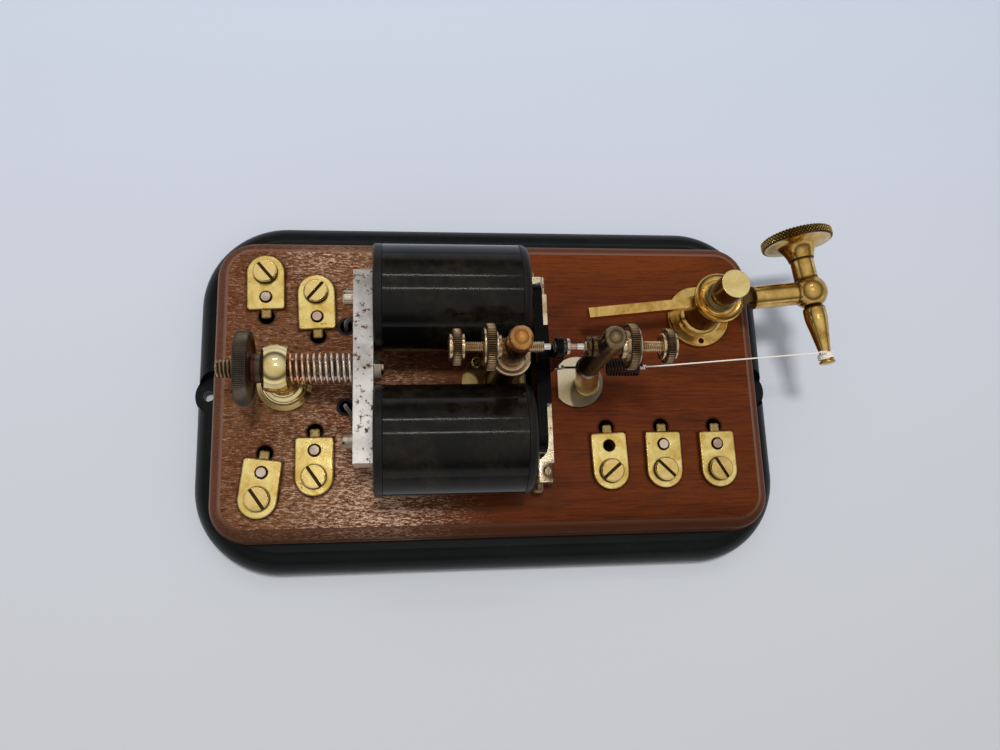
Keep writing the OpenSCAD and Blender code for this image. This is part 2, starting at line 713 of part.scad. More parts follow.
module lead_bushes() {
    color(EBONITE) for (p = LEAD_HOLES) translate([p[0], p[1], board_z]) difference() {
        cylinder(r = bush_r, h = board_t, $fn = small);
        translate([0, 0, -1]) cylinder(r = bush_bore_r, h = board_t + 2, $fn = small);
    }
}

// Contact posts, their screws and lock nuts

contact_z = top_z + contact_rise;
dome_z = contact_z + dome_rise;
spring_z = top_z + spring_rise;
collar_z = contact_z - 13.8;
collar_r = 6.8;
left_boss_l = 1;
right_boss_x = 4.6;
// The right post's leg leans outwards, down to this place on its foot
right_leg_end = [4.8, -1];

module left_contact_post() {
    color(BRONZE) difference() {
        translate([left_post_x, 0, 0]) union() {
            stud();
            translate([0, 0, contact_z]) rod_x(3, -post_r - left_boss_l, 0);
            rotate_extrude($fn = curve) polygon(concat(
                [[0, top_z], [left_foot_r, top_z], [left_foot_r, top_z + 1.8],
                 [left_foot_r - 0.7, top_z + 2.5], [5.4, top_z + 2.5], [4.6, top_z + 3.4],
                 [4.4, collar_z - 1], [collar_r - 0.5, collar_z], [collar_r, collar_z + 0.5],
                 [collar_r, collar_z + 1.8], [collar_r - 0.5, collar_z + 2.3],
                 [4.9, collar_z + 1.9], [post_r, collar_z + 2.6]],
                [for (a = [0 : 15 : 75]) [post_r * cos(a), dome_z + post_r * sin(a)]],
                [[0, dome_z + post_r]]));
        }
        translate([0, 0, contact_z]) rod_x(contact_r + run, left_post_x - 8, left_post_x + 8);
        for (p = FOOT_SCREWS) translate([p[0], p[1], top_z - 1])
            cylinder(r = foot_screw_r + fit, h = 4, $fn = small);
    }
}

module foot_screws() {
    color(BRASS) for (p = FOOT_SCREWS) translate([p[0], p[1], top_z + 2.5])
        slotted_screw(foot_screw_head_r, 1.3, foot_screw_r, 8, 0.5, 0.6, 20);
}

module right_contact_post() {
    flat_x = frame_x1 + frame_t + 4.6;
    color(BRONZE) difference() {
        union() {
            intersection() {
                translate([right_post_x + right_foot_shift, 0, top_z])
                    cylinder(r = right_foot_r, h = 2.4, $fn = curve);
                translate([flat_x, -20, top_z - 1]) cube([40, 40, 10]);
            }
            translate([right_post_x, 0, 0]) {
                stud();
                hull() {
                    translate([0, 0, spring_z - 1]) cylinder(r = right_leg_r, h = 1.6, $fn = small);
                    translate([right_leg_end[0], right_leg_end[1], top_z + 1])
                        cylinder(r = right_leg_r + 0.1, h = 2, $fn = small);
                }
                translate([right_leg_end[0], right_leg_end[1], top_z + 1])
                    cylinder(r = right_leg_r + 0.6, h = 2.1, $fn = small);
                rotate_extrude($fn = curve) polygon(concat(
                    [[0, spring_z - 0.5], [right_leg_r, spring_z - 0.5],
                     [right_leg_r, spring_z + 0.6], [post_r - 0.2, spring_z + 1.2]],
                    [for (a = [0 : 15 : 75])
                        [(post_r - 0.2) * cos(a), dome_z + (post_r - 0.2) * sin(a)]],
                    [[0, dome_z + post_r - 0.2]]));
            }
            translate([right_post_x, 0, contact_z]) {
                turned_x([[-7, 0], [-7, 2.7], [-6.4, 3.2], [-5.6, 3.2], [-5.2, 2.7], [-4.8, 3.2],
                          [-3.4, 3.3], [-3, 2.8], [right_boss_x, 2.8], [right_boss_x, 0]]);
            }
        }
        translate([0, 0, contact_z]) rod_x(contact_r + run, right_post_x - 9, right_post_x + 8);
        translate([0, 0, spring_z]) rod_x(1.1, right_post_x - 8, right_post_x + 8);
    }
}

nut_hex_r = 5.4;
module post_nuts() {
    color(BRASS) for (p = [[ball_post_x, 0], [left_post_x, 0], [right_post_x, 0],
                           [tension_x, tension_y]])
        translate([p[0], p[1], board_z - 2.6]) difference() {
            union() {
                cylinder(r = nut_hex_r, h = 2.1, $fn = 6);
                translate([0, 0, 2.1]) cylinder(r = 6.2, h = 0.5, $fn = small);
            }
            translate([0, 0, -1]) cylinder(r = stud_r + fit, h = 5, $fn = small);
        }
}

// A lock nut about the X axis; the end that bears on the post is at x = 0, the rest at -X
lock_boss_l = 1.2;
lock_collar_t = 0.6;
lock_rim_t = 3.1;
lock_flange_t = 0.9;
module lock_nut() {
    a = -lock_boss_l;
    b = a - lock_collar_t;
    c = b - lock_rim_t;
    d = c - lock_flange_t;
    color(BRONZE) difference() {
        turned_x([[d, 0], [d, lock_nut_r - 1.6], [d + 0.2, lock_nut_r - 1.4], [c, lock_nut_r - 1.4],
                  [c, lock_nut_r - 0.4], [c + 0.4, lock_nut_r], [b - 0.4, lock_nut_r],
                  [b, lock_nut_r - 0.4], [b, lock_nut_r - 2.4], [a, lock_nut_r - 2.4], [a, 4.1],
                  [0, 3.9], [0, 0]]);
        rod_x(contact_r + run, d - 1, 1);
    }
}

// A contact screw about the X axis: knob face at x = 0, thread towards +X, bored for its tip
knob_t = 5;
knob_flange_r = knob_r - 1.5;
tip_bore = 4;
module contact_screw(thread_l) {
    color(BRONZE) difference() {
        turned_x([[0, 0], [0, knob_flange_r - 0.2], [0.2, knob_flange_r], [0.9, knob_flange_r],
                  [1, knob_r - 0.3], [1.3, knob_r], [knob_t - 1.3, knob_r], [knob_t - 1, knob_r - 0.3],
                  [knob_t - 0.9, knob_flange_r], [knob_t - 0.2, knob_flange_r], [knob_t, knob_flange_r - 0.2],
                  [knob_t, contact_r], [knob_t + thread_l - 0.3, contact_r],
                  [knob_t + thread_l, contact_r - 0.3], [knob_t + thread_l, 0]]);
        rod_x(tip_r * 0.7 + run, knob_t + thread_l - tip_bore, knob_t + thread_l + 1);
    }
}

// A contact tip about the X axis: its face is at x = 0, its stem runs towards -X
tip_l = 2.3;
module contact_tip() {
    color(SILVER) turned_x([[0, 0], [0, tip_r - 0.1], [-0.1, tip_r], [-tip_l, tip_r],
        [-tip_l, tip_r * 0.7], [-tip_l - tip_bore + 0.3, tip_r * 0.7],
        [-tip_l - tip_bore + 0.3, 0]]);
}

// Contact places: the lever's two pips and the tips that face them
barrel_l = 5;
barrel_x0 = pivot_x - 1;
left_pip_x = barrel_x0 - 0.4;
right_pip_x = barrel_x0 + barrel_l + 2.4;
rest_gap = 0.06;
left_tip_x = left_pip_x - contact_play;
right_tip_x = right_pip_x + rest_gap;
left_knob_x = -21.3;
right_knob_x = 52.6;
left_thread_l = left_tip_x - tip_l - slide / 2 - left_knob_x - knob_t;
right_thread_l = right_knob_x - knob_t - right_tip_x - tip_l - slide / 2;

module left_contact_tip() {
    translate([left_tip_x, 0, contact_z]) contact_tip();
}
module left_contact_screw() {
    translate([left_knob_x, 0, contact_z]) contact_screw(left_thread_l);
}
module left_lock_nut() {
    translate([left_post_x - post_r - left_boss_l, 0, contact_z]) lock_nut();
}
module right_contact_tip() {
    translate([right_tip_x, 0, contact_z]) mirror([1, 0, 0]) contact_tip();
}
module right_contact_screw() {
    translate([right_knob_x, 0, contact_z]) mirror([1, 0, 0]) contact_screw(right_thread_l);
}
module right_lock_nut() {
    translate([right_post_x + right_boss_x, 0, contact_z]) mirror([1, 0, 0]) lock_nut();
}

// Armature, its frame and its pivots

pivot_z = top_z + pivot_rise;
bar_x = pole_x + air_gap;
hub_r = 3;
pivot_r = 1.6;
pivot_tip_r = 0.8;
pivot_tip_l = 1.4;
lug_w = frame_x1 + frame_t - lug_x0;
frame_screw_top = pivot_z - pivot_r - 1.4;
clamp_x = frame_x1 - 0.4;
clamp_head_r = 1.6;

// The outline of a lug across the armature: a block with round upper edges
module lug_outline() {
    square([lug_w, frame_h - lug_edge_r]);
    translate([lug_edge_r, 0]) square([lug_w - 2 * lug_edge_r, frame_h]);
    for (x = [lug_edge_r, lug_w - lug_edge_r])
        translate([x, frame_h - lug_edge_r]) circle(r = lug_edge_r, $fn = small);
}

module armature_frame() {
    web_l = 5;
    web_t = 1.6;
    color(BRASS) difference() {
        union() {
            translate([frame_x1, -lug_y1, top_z]) cube([frame_t, 2 * lug_y1, frame_h - lug_edge_r]);
            translate([frame_x1, -lug_y0 - 1, top_z]) cube([frame_t, 2 * (lug_y0 + 1), frame_h]);
            for (y = [-lug_y0, lug_y1]) translate([lug_x0, y, top_z])
                rotate([90, 0, 0]) linear_extrude(lug_l) lug_outline();
            for (side = [-1, 1]) translate([0, 0, top_z + frame_h - web_t]) linear_extrude(web_t)
                difference() {
                    translate([frame_x1 - web_l, side > 0 ? lug_y0 - web_l : -lug_y0])
                        square(web_l);
                    translate([frame_x1 - web_l, side * (lug_y0 - web_l)])
                        circle(r = web_l, $fn = curve);
                }
        }
        translate([pivot_x, 0, pivot_z]) rod_y(pivot_r + fit, -lug_y1 - 1, lug_y1 + 1);
        for (p = FRAME_SCREWS) translate([p[0], p[1], top_z - 1])
            cylinder(r = frame_screw_r + fit, h = frame_screw_top - top_z + 1 + fit, $fn = small);
        for (y = [-1, 1]) translate([clamp_x, y * (lug_y0 + lug_y1) / 2, pivot_z + 1])
            cylinder(r = 0.9 + fit, h = 10, $fn = small);
    }
}

module frame_screws() {
    head_h = 1.6;
    color(BRASS) for (p = FRAME_SCREWS) translate([p[0], p[1], board_z]) rotate([180, 0, 0])
        slotted_screw(2.6, head_h, frame_screw_r, frame_screw_top - board_z, 0.7, 0.8, 70);
}

module pivot_clamp_screws() {
    color(BRASS) for (y = [-1, 1])
        translate([clamp_x, y * (lug_y0 + lug_y1) / 2, top_z + frame_h])
            slotted_screw(clamp_head_r, 1.1, 0.9, frame_h - pivot_rise - 1.4, 0.5, 0.5, 90 + y * 10);
}

module pivot_screws() {
    head_l = 3.4;
    head_r = 2.2;
    inner = lug_y0 - 0.3;
    color(STEEL) for (side = [-1, 1]) translate([pivot_x, 0, pivot_z]) rotate([0, 0, side > 0 ? 0 : 180])
        difference() {
            turned_y([[inner - 0.3 - pivot_tip_l + 0.4, 0], [inner - 0.3 - pivot_tip_l + 0.4, pivot_tip_r],
                      [inner, pivot_tip_r], [inner, pivot_r], [lug_y1, pivot_r],
                      [lug_y1, head_r], [lug_y1 + head_l - 0.8, head_r],
                      [lug_y1 + head_l, head_r - 0.8], [lug_y1 + head_l, 0]]);
            translate([-4, lug_y1 + head_l - 0.8, -0.35]) cube([8, 2, 0.7]);
        }
}

module armature_arbor() {
    half = lug_y0 - 0.6;
    color(STEEL) translate([pivot_x, 0, pivot_z]) difference() {
        rod_y(arbor_r, -half, half);
        for (y = [-half - 1, half - pivot_tip_l]) rod_y(pivot_tip_r + run, y, y + 1 + pivot_tip_l);
    }
}

module armature_bar() {
    color(EBONITE) difference() {
        translate([bar_x, 0, axis_z]) rotate([90, 0, 90]) linear_extrude(armature_t)
            round_rect(armature_l, armature_h, armature_end_r);
        for (y = [-10, 10]) translate([0, y, axis_z]) rod_x(1.5 + fit, bar_x - 1, bar_x + armature_t + 1);
    }
}

carrier_t = 1.8;
carrier_x = bar_x + armature_t;
module armature_rivets() {
    color(STEEL) for (y = [-10, 10]) translate([0, y, axis_z]) {
        rod_x(1.5, bar_x - 0.3, carrier_x + carrier_t);
        rod_x(2.4, carrier_x + carrier_t, carrier_x + carrier_t + 0.7);
    }
}

eye_r = 3.1;
barrel_r = 1.9;
module lever() {
    low_z = axis_z - armature_h / 2;
    high_z = axis_z + armature_h / 2;
    shoulder_z = contact_z - 6.5;
    color(EBONITE) difference() {
        union() {
            translate([pivot_x, 0, pivot_z]) rod_y(hub_r, -6, 6);
            translate([0, lever_t / 2, 0]) rotate([90, 0, 0]) linear_extrude(lever_t)
                polygon([[pivot_x - 1.6, pivot_z], [pivot_x + 2, pivot_z],
                    [carrier_x + 3, low_z], [carrier_x + 4.2, shoulder_z - 2.5],
                    [carrier_x + 3.4, shoulder_z], [carrier_x - 4.6, shoulder_z],
                    [carrier_x - 5.2, shoulder_z - 1.6], [carrier_x, high_z + 0.4],
                    [carrier_x, low_z - 0.4], [pivot_x - 1.2, low_z - 4]]);
            translate([carrier_x, -14, low_z + 0.6]) cube([carrier_t, 28, armature_h - 1.2]);
            translate([pivot_x - 0.4, -1.6, shoulder_z - 1]) cube([2.2, 3.2, 6]);
            translate([0, 0, contact_z]) rod_x(eye_r, pivot_x - 0.4, pivot_x + 1.8);
        }
        translate([pivot_x, 0, pivot_z]) rod_y(arbor_r + fit, -10, 10);
        translate([0, 0, contact_z]) rod_x(barrel_r + fit, pivot_x - 2, pivot_x + 4);
        for (y = [-10, 10]) translate([0, y, axis_z]) rod_x(1.5 + fit, carrier_x - 1, carrier_x + 4);
    }
}

module contact_barrel() {
    b1 = barrel_x0 + barrel_l;
    color(SILVER) translate([0, 0, contact_z]) turned_x([[left_pip_x, 0], [left_pip_x, tip_r - 0.1],
        [barrel_x0, tip_r], [barrel_x0, barrel_r], [b1 - 1, barrel_r], [b1 - 1, 2.7], [b1, 2.7],
        [b1, tip_r], [right_pip_x, tip_r - 0.1], [right_pip_x, 0]]);
}

// The hook: an eye on the lever's back that the tension spring's wire end passes through
hook_x = pivot_x + 4.6;
module spring_hook() {
    color(STEEL) translate([0, 0, spring_z]) difference() {
        union() {
            rod_x(0.8, carrier_x + 3.3, hook_x + 0.4);
            translate([hook_x + 1.6, 0, 0]) rod_y(1.7, -0.5, 0.5);
        }
        translate([hook_x + 1.6, 0, 0]) rod_y(0.8, -2, 2);
    }
}

// Tension spring: from its eye at the lever, through the right post, to the silk thread
spring_x1 = tension_spring_x + tension_spring_l;
thread_x = spring_x1 + 2.4;
module tension_spring() {
    per_turn = 8;
    lead = [[hook_x + 3.5, 0, spring_z], [right_post_x, 0, spring_z],
            [tension_spring_x - 1.4, 0, spring_z]];
    entry = [for (i = [1 : 3]) let (a = 90 * i / 4 - 90, r = tension_coil_r * i / 4)
        [tension_spring_x - 1 + i * 0.25, r * cos(a), spring_z + r * sin(a)]];
    turns = [for (p = helix_x(tension_spring_x, tension_spring_l, tension_coil_r, tension_turns,
                              per_turn)) p + [0, 0, spring_z]];
    exit = [for (i = [1 : 3]) let (a = 360 * tension_turns + 90 * i / 4, r = tension_coil_r * (4 - i) / 4)
        [spring_x1 + i * 0.25, r * cos(a), spring_z + r * sin(a)]];
    tail = [[spring_x1 + 1.2, 0, spring_z], [thread_x - 0.3, 0, spring_z]];
    echo(tension_spring_gap = tension_spring_l / tension_turns - 2 * tension_wire_r);
    color([0.16, 0.17, 0.22])
        swept_tube(concat(lead, entry, turns, exit, tail), tension_wire_r, 6, [0, 1, 0]);
}

// Tension post, rod, spindle and thread. Their own frame has X along the rod

tension_z = top_z + tension_rise;
column_r = 6.6;
head_rise = 2.9;
head_z = tension_z + bar_w / 2 + 1.2;
sleeve_end = 12.8;
module at_tension() {
    translate([tension_x, tension_y, 0]) rotate([0, 0, tension_yaw]) children();
}
ball_cut = 0.6;
module at_spindle() {
    translate([ball_reach, 0, 0]) rotate([0, 0, spindle_skew]) children();
}
// Place of a point of the spindle's own frame: its axis along Y, through the rod's ball
spindle_yaw = tension_yaw + spindle_skew;
function from_spindle(p) = [
    tension_x + ball_reach * cos(tension_yaw) + p[0] * cos(spindle_yaw) - p[1] * sin(spindle_yaw),
    tension_y + ball_reach * sin(tension_yaw) + p[0] * sin(spindle_yaw) + p[1] * cos(spindle_yaw),
    p[2]];

clamp_shank_r = 2.9;
module tension_post() {
    hole_side = bar_w + 2 * slide;
    color(BRASS) difference() {
        union() {
            translate([tension_x, tension_y, 0]) {
                stud();
                rotate_extrude($fn = curve) polygon([[0, top_z], [tension_flange_r - 0.3, top_z],
                    [tension_flange_r, top_z + 0.6], [tension_flange_r - 0.2, top_z + 1.8],
                    [tension_flange_r - 1, top_z + 2.6], [8.8, top_z + 2.8], [8.8, top_z + 4.2],
                    [8, top_z + 5], [7, top_z + 5.4], [column_r, top_z + 6.4],
                    [column_r, head_z - 0.6], [tension_head_r - 0.6, head_z],
                    [tension_head_r, head_z + 0.8], [tension_head_r, head_z + 1.7],
                    [tension_head_r - 0.5, head_z + 2.2], [tension_head_r - 1.4, head_z + 1.7],
                    [tension_head_r - 2.4, head_z + 1.5], [tension_head_r - 2.6, head_z + 2.2],
                    [6.1, head_z + head_rise], [0, head_z + head_rise]]);
            }
        }
        at_tension() translate([-20, -hole_side / 2, tension_z - hole_side / 2])
            cube([40, hole_side, hole_side]);
        translate([tension_x, tension_y, tension_z])
            cylinder(r = clamp_shank_r + run, h = 20, $fn = small);
        for (a = [-90, 30, 150]) translate([tension_x + tension_screw_ring * cos(a),
                                            tension_y + tension_screw_ring * sin(a), top_z - 1])
            cylinder(r = tension_screw_r + fit, h = 6, $fn = small);
    }
}

module tension_post_screws() {
    color(BRASS) for (a = [30, 150]) translate([tension_x + tension_screw_ring * cos(a),
                                                tension_y + tension_screw_ring * sin(a), top_z + 2.8])
        slotted_screw(tension_screw_head_r, 0.8, tension_screw_r, 8.5, 0.4, 0.4, a);
}

module clamp_screw() {
    seat_z = head_z + head_rise + face_gap;
    foot_z = tension_z + bar_w / 2 + face_gap;
    cap_z = head_z + head_rise + cap_h;
    neck_r = cap_r - 0.7;
    color(BRASS) translate([tension_x, tension_y, 0]) rotate_extrude($fn = curve)
        polygon([[0, foot_z], [clamp_shank_r, foot_z], [clamp_shank_r, seat_z],
                 [cap_r + 0.4, seat_z], [cap_r + 0.4, seat_z + 1], [neck_r, seat_z + 1.8],
                 [neck_r, seat_z + 5], [cap_r, seat_z + 5.8], [cap_r, cap_z - 0.15],
                 [cap_r - 0.15, cap_z], [0, cap_z]]);
}

module tension_rod() {
    color(BRASS) at_tension() translate([0, 0, tension_z]) difference() {
        union() {
            translate([-bar_reach, -bar_w / 2, -bar_w / 2])
                cube([bar_reach + round_x + 1, bar_w, bar_w]);
            turned_x([[round_x, 0], [round_x, round_r - 0.3], [round_x + 0.3, round_r],
                      [ball_reach, round_r], [ball_reach, 0]]);
            at_spindle() intersection() {
                sphere(r = rod_ball_r, $fn = curve);
                translate([-10, -rod_ball_r + ball_cut, -10]) cube(20);
            }
            at_spindle() rod_y(4.4, 0, sleeve_end);
        }
        at_spindle() rod_y(spindle_r + run, -10, sleeve_end + 1);
    }
}

cone_y = -rod_ball_r + ball_cut - slide;
thread_y = -24.4;
tip_y = -27;
spindle_tip_r = 2.1;
module tension_spindle() {
    knob_y = sleeve_end + 6.8;
    color(BRASS) at_tension() translate([0, 0, tension_z]) at_spindle()
        turned_y([[tip_y - 1.5, 0], [tip_y - 1.5, 2.2], [tip_y - 1.1, 3], [tip_y - 0.4, 3],
                  [tip_y, spindle_tip_r], [thread_y + 0.4, spindle_tip_r],
                  [thread_y + 1.2, spindle_tip_r + 0.2], [cone_y - 9, 3.5], [cone_y - 4.5, 4.2],
                  [cone_y - 1, 4.2], [cone_y, 3.7],
                  [cone_y, spindle_r], [sleeve_end + slide, spindle_r], [sleeve_end + slide, 4.5],
                  [knob_y - 3, 5.1], [knob_y - 1.2, 6], [knob_y, 7.6], [knob_y, spindle_knob_r - 0.6],
                  [knob_y + 0.6, spindle_knob_r], [knob_y + 2.6, spindle_knob_r],
                  [knob_y + 3.2, spindle_knob_r - 0.6], [knob_y + 3.2, 0]]);
}

// Silk thread: wound on the spindle, leaving its top for the spring
module silk_thread() {
    wound_r = spindle_tip_r + thread_r + 0.1;
    turns = 2;
    per_turn = 24;
    pitch = 1;
    wound = [for (i = [0 : turns * per_turn]) let (a = 90 + 360 * i / per_turn)
        from_spindle([wound_r * cos(a), tip_y + 0.4 + pitch * i / per_turn,
                      tension_z + wound_r * sin(a)])];
    leave = wound[len(wound) - 1];
    hitch = [thread_x, 0, spring_z];
    run_steps = 8;
    free = [for (i = [1 : run_steps]) leave + (hitch - leave) * i / run_steps];
    echo(thread_gap = pitch - 2 * thread_r, thread_length = norm(hitch - leave));
    color([0.95, 0.93, 0.9]) {
        swept_tube(concat(wound, free), thread_r, 6, [0, 1, 0]);
    }
}

// Wires in the hollow of the base, from terminal pins to what they feed
module wiring() {
    wire_r = 0.8;
    wire_z = board_z - 3.6;
    pins = [for (t = TERMINALS) [t[0], t[1]]];
    runs = [[pins[0], [ball_post_x, 0], stud_r], [pins[1], LEAD_HOLES[0], 1.2],
            [pins[2], LEAD_HOLES[1], 1.2], [pins[3], [left_post_x, 0], stud_r],
            [pins[5], [right_post_x, 0], stud_r], [pins[6], [tension_x, tension_y], stud_r]];
    color([0.2, 0.3, 0.2]) for (w = runs) {
        d = w[1] - w[0];
        length = norm(d);
        a = atan2(d[1], d[0]);
        translate([w[0][0], w[0][1], wire_z]) rotate([0, 0, a])
            rod_x(wire_r, pin_r + 0.1, length - w[2] - 0.1, 16);
    }
}

base_casting();
base_cover();
cover_screws();
board_screws();
baseboard();
terminal_plates();
terminal_pins();
terminal_screw(0);  // terminal_screw_1
terminal_screw(1);  // terminal_screw_2
terminal_screw(2);  // terminal_screw_3
terminal_screw(3);  // terminal_screw_4
terminal_screw(4);  // terminal_screw_5
terminal_screw(5);  // terminal_screw_6
terminal_screw(6);  // terminal_screw_7
ball_post();
left_contact_post();
foot_screws();
right_contact_post();
post_nuts();
armature_frame();
frame_screws();
pivot_screws();
pivot_clamp_screws();
runner_rails();
rail_screws();
tension_post();
tension_post_screws();
wiring();
lead_bushes();
yoke();
cores();
yoke_fasteners();
bobbin(1);  // bobbin_rear
bobbin(-1);  // bobbin_front
winding(1);  // winding_rear
winding(-1);  // winding_front
coil_cover(1);  // coil_cover_rear
coil_cover(-1);  // coil_cover_front
adjusting_rod();
magnet_saddles();
magnet_spring();
coil_leads();
adjusting_wheel();
armature_bar();
armature_arbor();
armature_rivets();
lever();
contact_barrel();
spring_hook();
left_contact_tip();
left_contact_screw();
left_lock_nut();
right_contact_tip();
right_contact_screw();
right_lock_nut();
tension_spring();
tension_rod();
silk_thread();
tension_spindle();
clamp_screw();
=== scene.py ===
"""Looks of a telegraph relay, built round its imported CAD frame.

Lengths are millimetres in the frame of the CAD model, and become metres when a piece is
finished. Only the studio's are metres from the start. X runs towards the tension spindle, Y to
the rear and Z up.
"""

from __future__ import annotations

import json
import logging
import math
from dataclasses import dataclass, field
from enum import Enum
from typing import Sequence

import bmesh
import bpy
from mathutils import Matrix, Vector

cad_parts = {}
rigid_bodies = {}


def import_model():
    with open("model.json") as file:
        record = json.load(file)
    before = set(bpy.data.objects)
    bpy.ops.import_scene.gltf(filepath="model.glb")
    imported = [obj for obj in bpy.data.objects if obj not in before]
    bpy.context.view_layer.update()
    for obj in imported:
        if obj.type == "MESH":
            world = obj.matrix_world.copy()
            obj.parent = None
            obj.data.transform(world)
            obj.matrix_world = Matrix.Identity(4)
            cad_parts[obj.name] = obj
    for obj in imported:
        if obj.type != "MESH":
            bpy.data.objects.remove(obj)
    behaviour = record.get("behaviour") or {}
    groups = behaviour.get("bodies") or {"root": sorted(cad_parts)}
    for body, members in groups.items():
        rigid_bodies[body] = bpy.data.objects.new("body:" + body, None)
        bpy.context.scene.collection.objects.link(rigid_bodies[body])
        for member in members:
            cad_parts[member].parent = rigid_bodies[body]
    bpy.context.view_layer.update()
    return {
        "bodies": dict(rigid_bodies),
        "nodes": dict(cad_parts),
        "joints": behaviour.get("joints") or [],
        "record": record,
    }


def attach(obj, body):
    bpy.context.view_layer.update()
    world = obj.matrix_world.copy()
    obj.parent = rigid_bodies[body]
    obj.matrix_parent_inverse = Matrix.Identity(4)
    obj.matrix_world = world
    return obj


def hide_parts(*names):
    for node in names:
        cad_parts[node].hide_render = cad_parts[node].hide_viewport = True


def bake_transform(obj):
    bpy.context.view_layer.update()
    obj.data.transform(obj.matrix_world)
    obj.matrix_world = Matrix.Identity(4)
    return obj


LOG = logging.getLogger("relay")
MM = 0.001
TAU = 2.0 * math.pi

Pair = tuple[float, float]
Triple = tuple[float, float, float]
Colour = Triple
Profile = Sequence[Pair]
Stops = Sequence[tuple[float, Colour]]
Socket = bpy.types.NodeSocket
Shape = bmesh.types.BMesh

# Heights of the magnet's axis, the contact screws, both tension pieces and the board's top.
AXIS_Z = 51.3
CONTACT_Z = 79.3
SPRING_Z = 50.5
TENSION_Z = 45.0
BOARD_TOP = 24.5

ORIGIN = (0.0, 0.0, 0.0)
UP = (0.0, 0.0, 1.0)
ALONG_X = (1.0, 0.0, 0.0)
KNOB_AXIS = (0.0, 0.0, CONTACT_Z)

# A radius that takes in the whole relay, and the room round a thread in its hole.
EVERYWHERE = 900.0
PLAY = 0.06

# Distance from a terminal's pin to its screw, then each pin's X and Y and the screw's heading.
TERMINAL_PITCH = 9.6
TERMINALS = ((-86.0, 33.6, 92), (-67.0, 26.0, 93), (-85.9, -32.3, -97), (-67.3, -24.6, -90),
             (42.1, -24.6, -88), (63.3, -24.4, -90), (84.6, -24.5, -89))

# Colours of painted shade in slots, creases, seams, knurl grooves and under heads, a brown for
# spots on the terminal plates, and ranges of noise over which a metal goes dull.
PAINTED_SHADE = (0.035, 0.020, 0.010)
GROOVE_SHADE = (0.030, 0.018, 0.010)
TARNISH = (0.22, 0.14, 0.07)
UNDERHEAD_SHADE = (0.042, 0.016, 0.010)
SPOTLESS = (0.42, 0.7)
PATCHY = (0.35, 0.65)


def level(degrees: float) -> Vector:
    """Unit vector in the board's plane, turned from X by an angle in degrees."""
    return Vector((math.cos(math.radians(degrees)), math.sin(math.radians(degrees)), 0.0))


def terminals() -> list[tuple[Vector, Vector]]:
    """Each terminal's pin on the board, and the direction from it to its screw."""
    return [(Vector((x, y, BOARD_TOP)), level(heading)) for x, y, heading in TERMINALS]


# The tension rod's turn from X, the spindle's from square to it, and where they cross.
ROD_YAW = 5.85
SPINDLE_SKEW = 2.0
SPINDLE_REACH = 38.1
TENSION_AT = (81.5, 26.5, TENSION_Z)
ROD_ALONG = tuple(level(ROD_YAW))
SPINDLE_AT = tuple(Vector(TENSION_AT) + SPINDLE_REACH * level(ROD_YAW))
SPINDLE_ALONG = tuple(level(ROD_YAW + SPINDLE_SKEW + 90.0))


class Knurl(Enum):
    """Pattern cut into the rim of a hand nut or knob."""

    STRAIGHT = "straight"
    DIAMOND = "diamond"


class Making(Enum):
    """How a piece is made, which ends its name."""

    DRESSED = "finished"
    KNURLED = "knurled"
    THREADED = "threaded"
    WOUND = "wound"


@dataclass(frozen=True)
class Zone:
    """A zone about a line, in millimetres, in which a surface has another colour.

    The line runs along heading through point. The span limits the zone along it, inner leaves
    out what is nearer to it, and soft is half the width over which the zone fades. The amount
    is how much of the colour shows, and rough the least roughness.
    """

    point: Triple
    heading: Triple
    radius: float
    colour: Colour
    span: Pair | None = None
    soft: float = 0.25
    amount: float = 1.0
    rough: float = 0.45
    inner: float = 0.0


def layer(low: float, high: float, colour: Colour, soft: float, amount: float,
          rough: float = 0.45) -> Zone:
    """A zone that takes in everything between two heights.

    Args:
        low: height of its underside.
        high: height of its top.
        colour: colour in it.
        soft: half the width over which it fades.
        amount: how much of the colour shows.
        rough: least roughness in it.

    Returns:
        The zone.
    """
    return Zone(ORIGIN, UP, EVERYWHERE, colour, (low, high), soft, amount, rough)


def fill_ramp(node: bpy.types.Node, stops: Stops) -> None:
    """Gives a colour ramp its stops.

    Args:
        node: the new ramp.
        stops: pairs of place and colour, in order.
    """
    elements = node.color_ramp.elements
    while len(elements) < len(stops):
        elements.new(0.5)
    for element, (place, colour) in zip(elements, stops):
        element.position = place
        element.color = (*colour, 1.0)


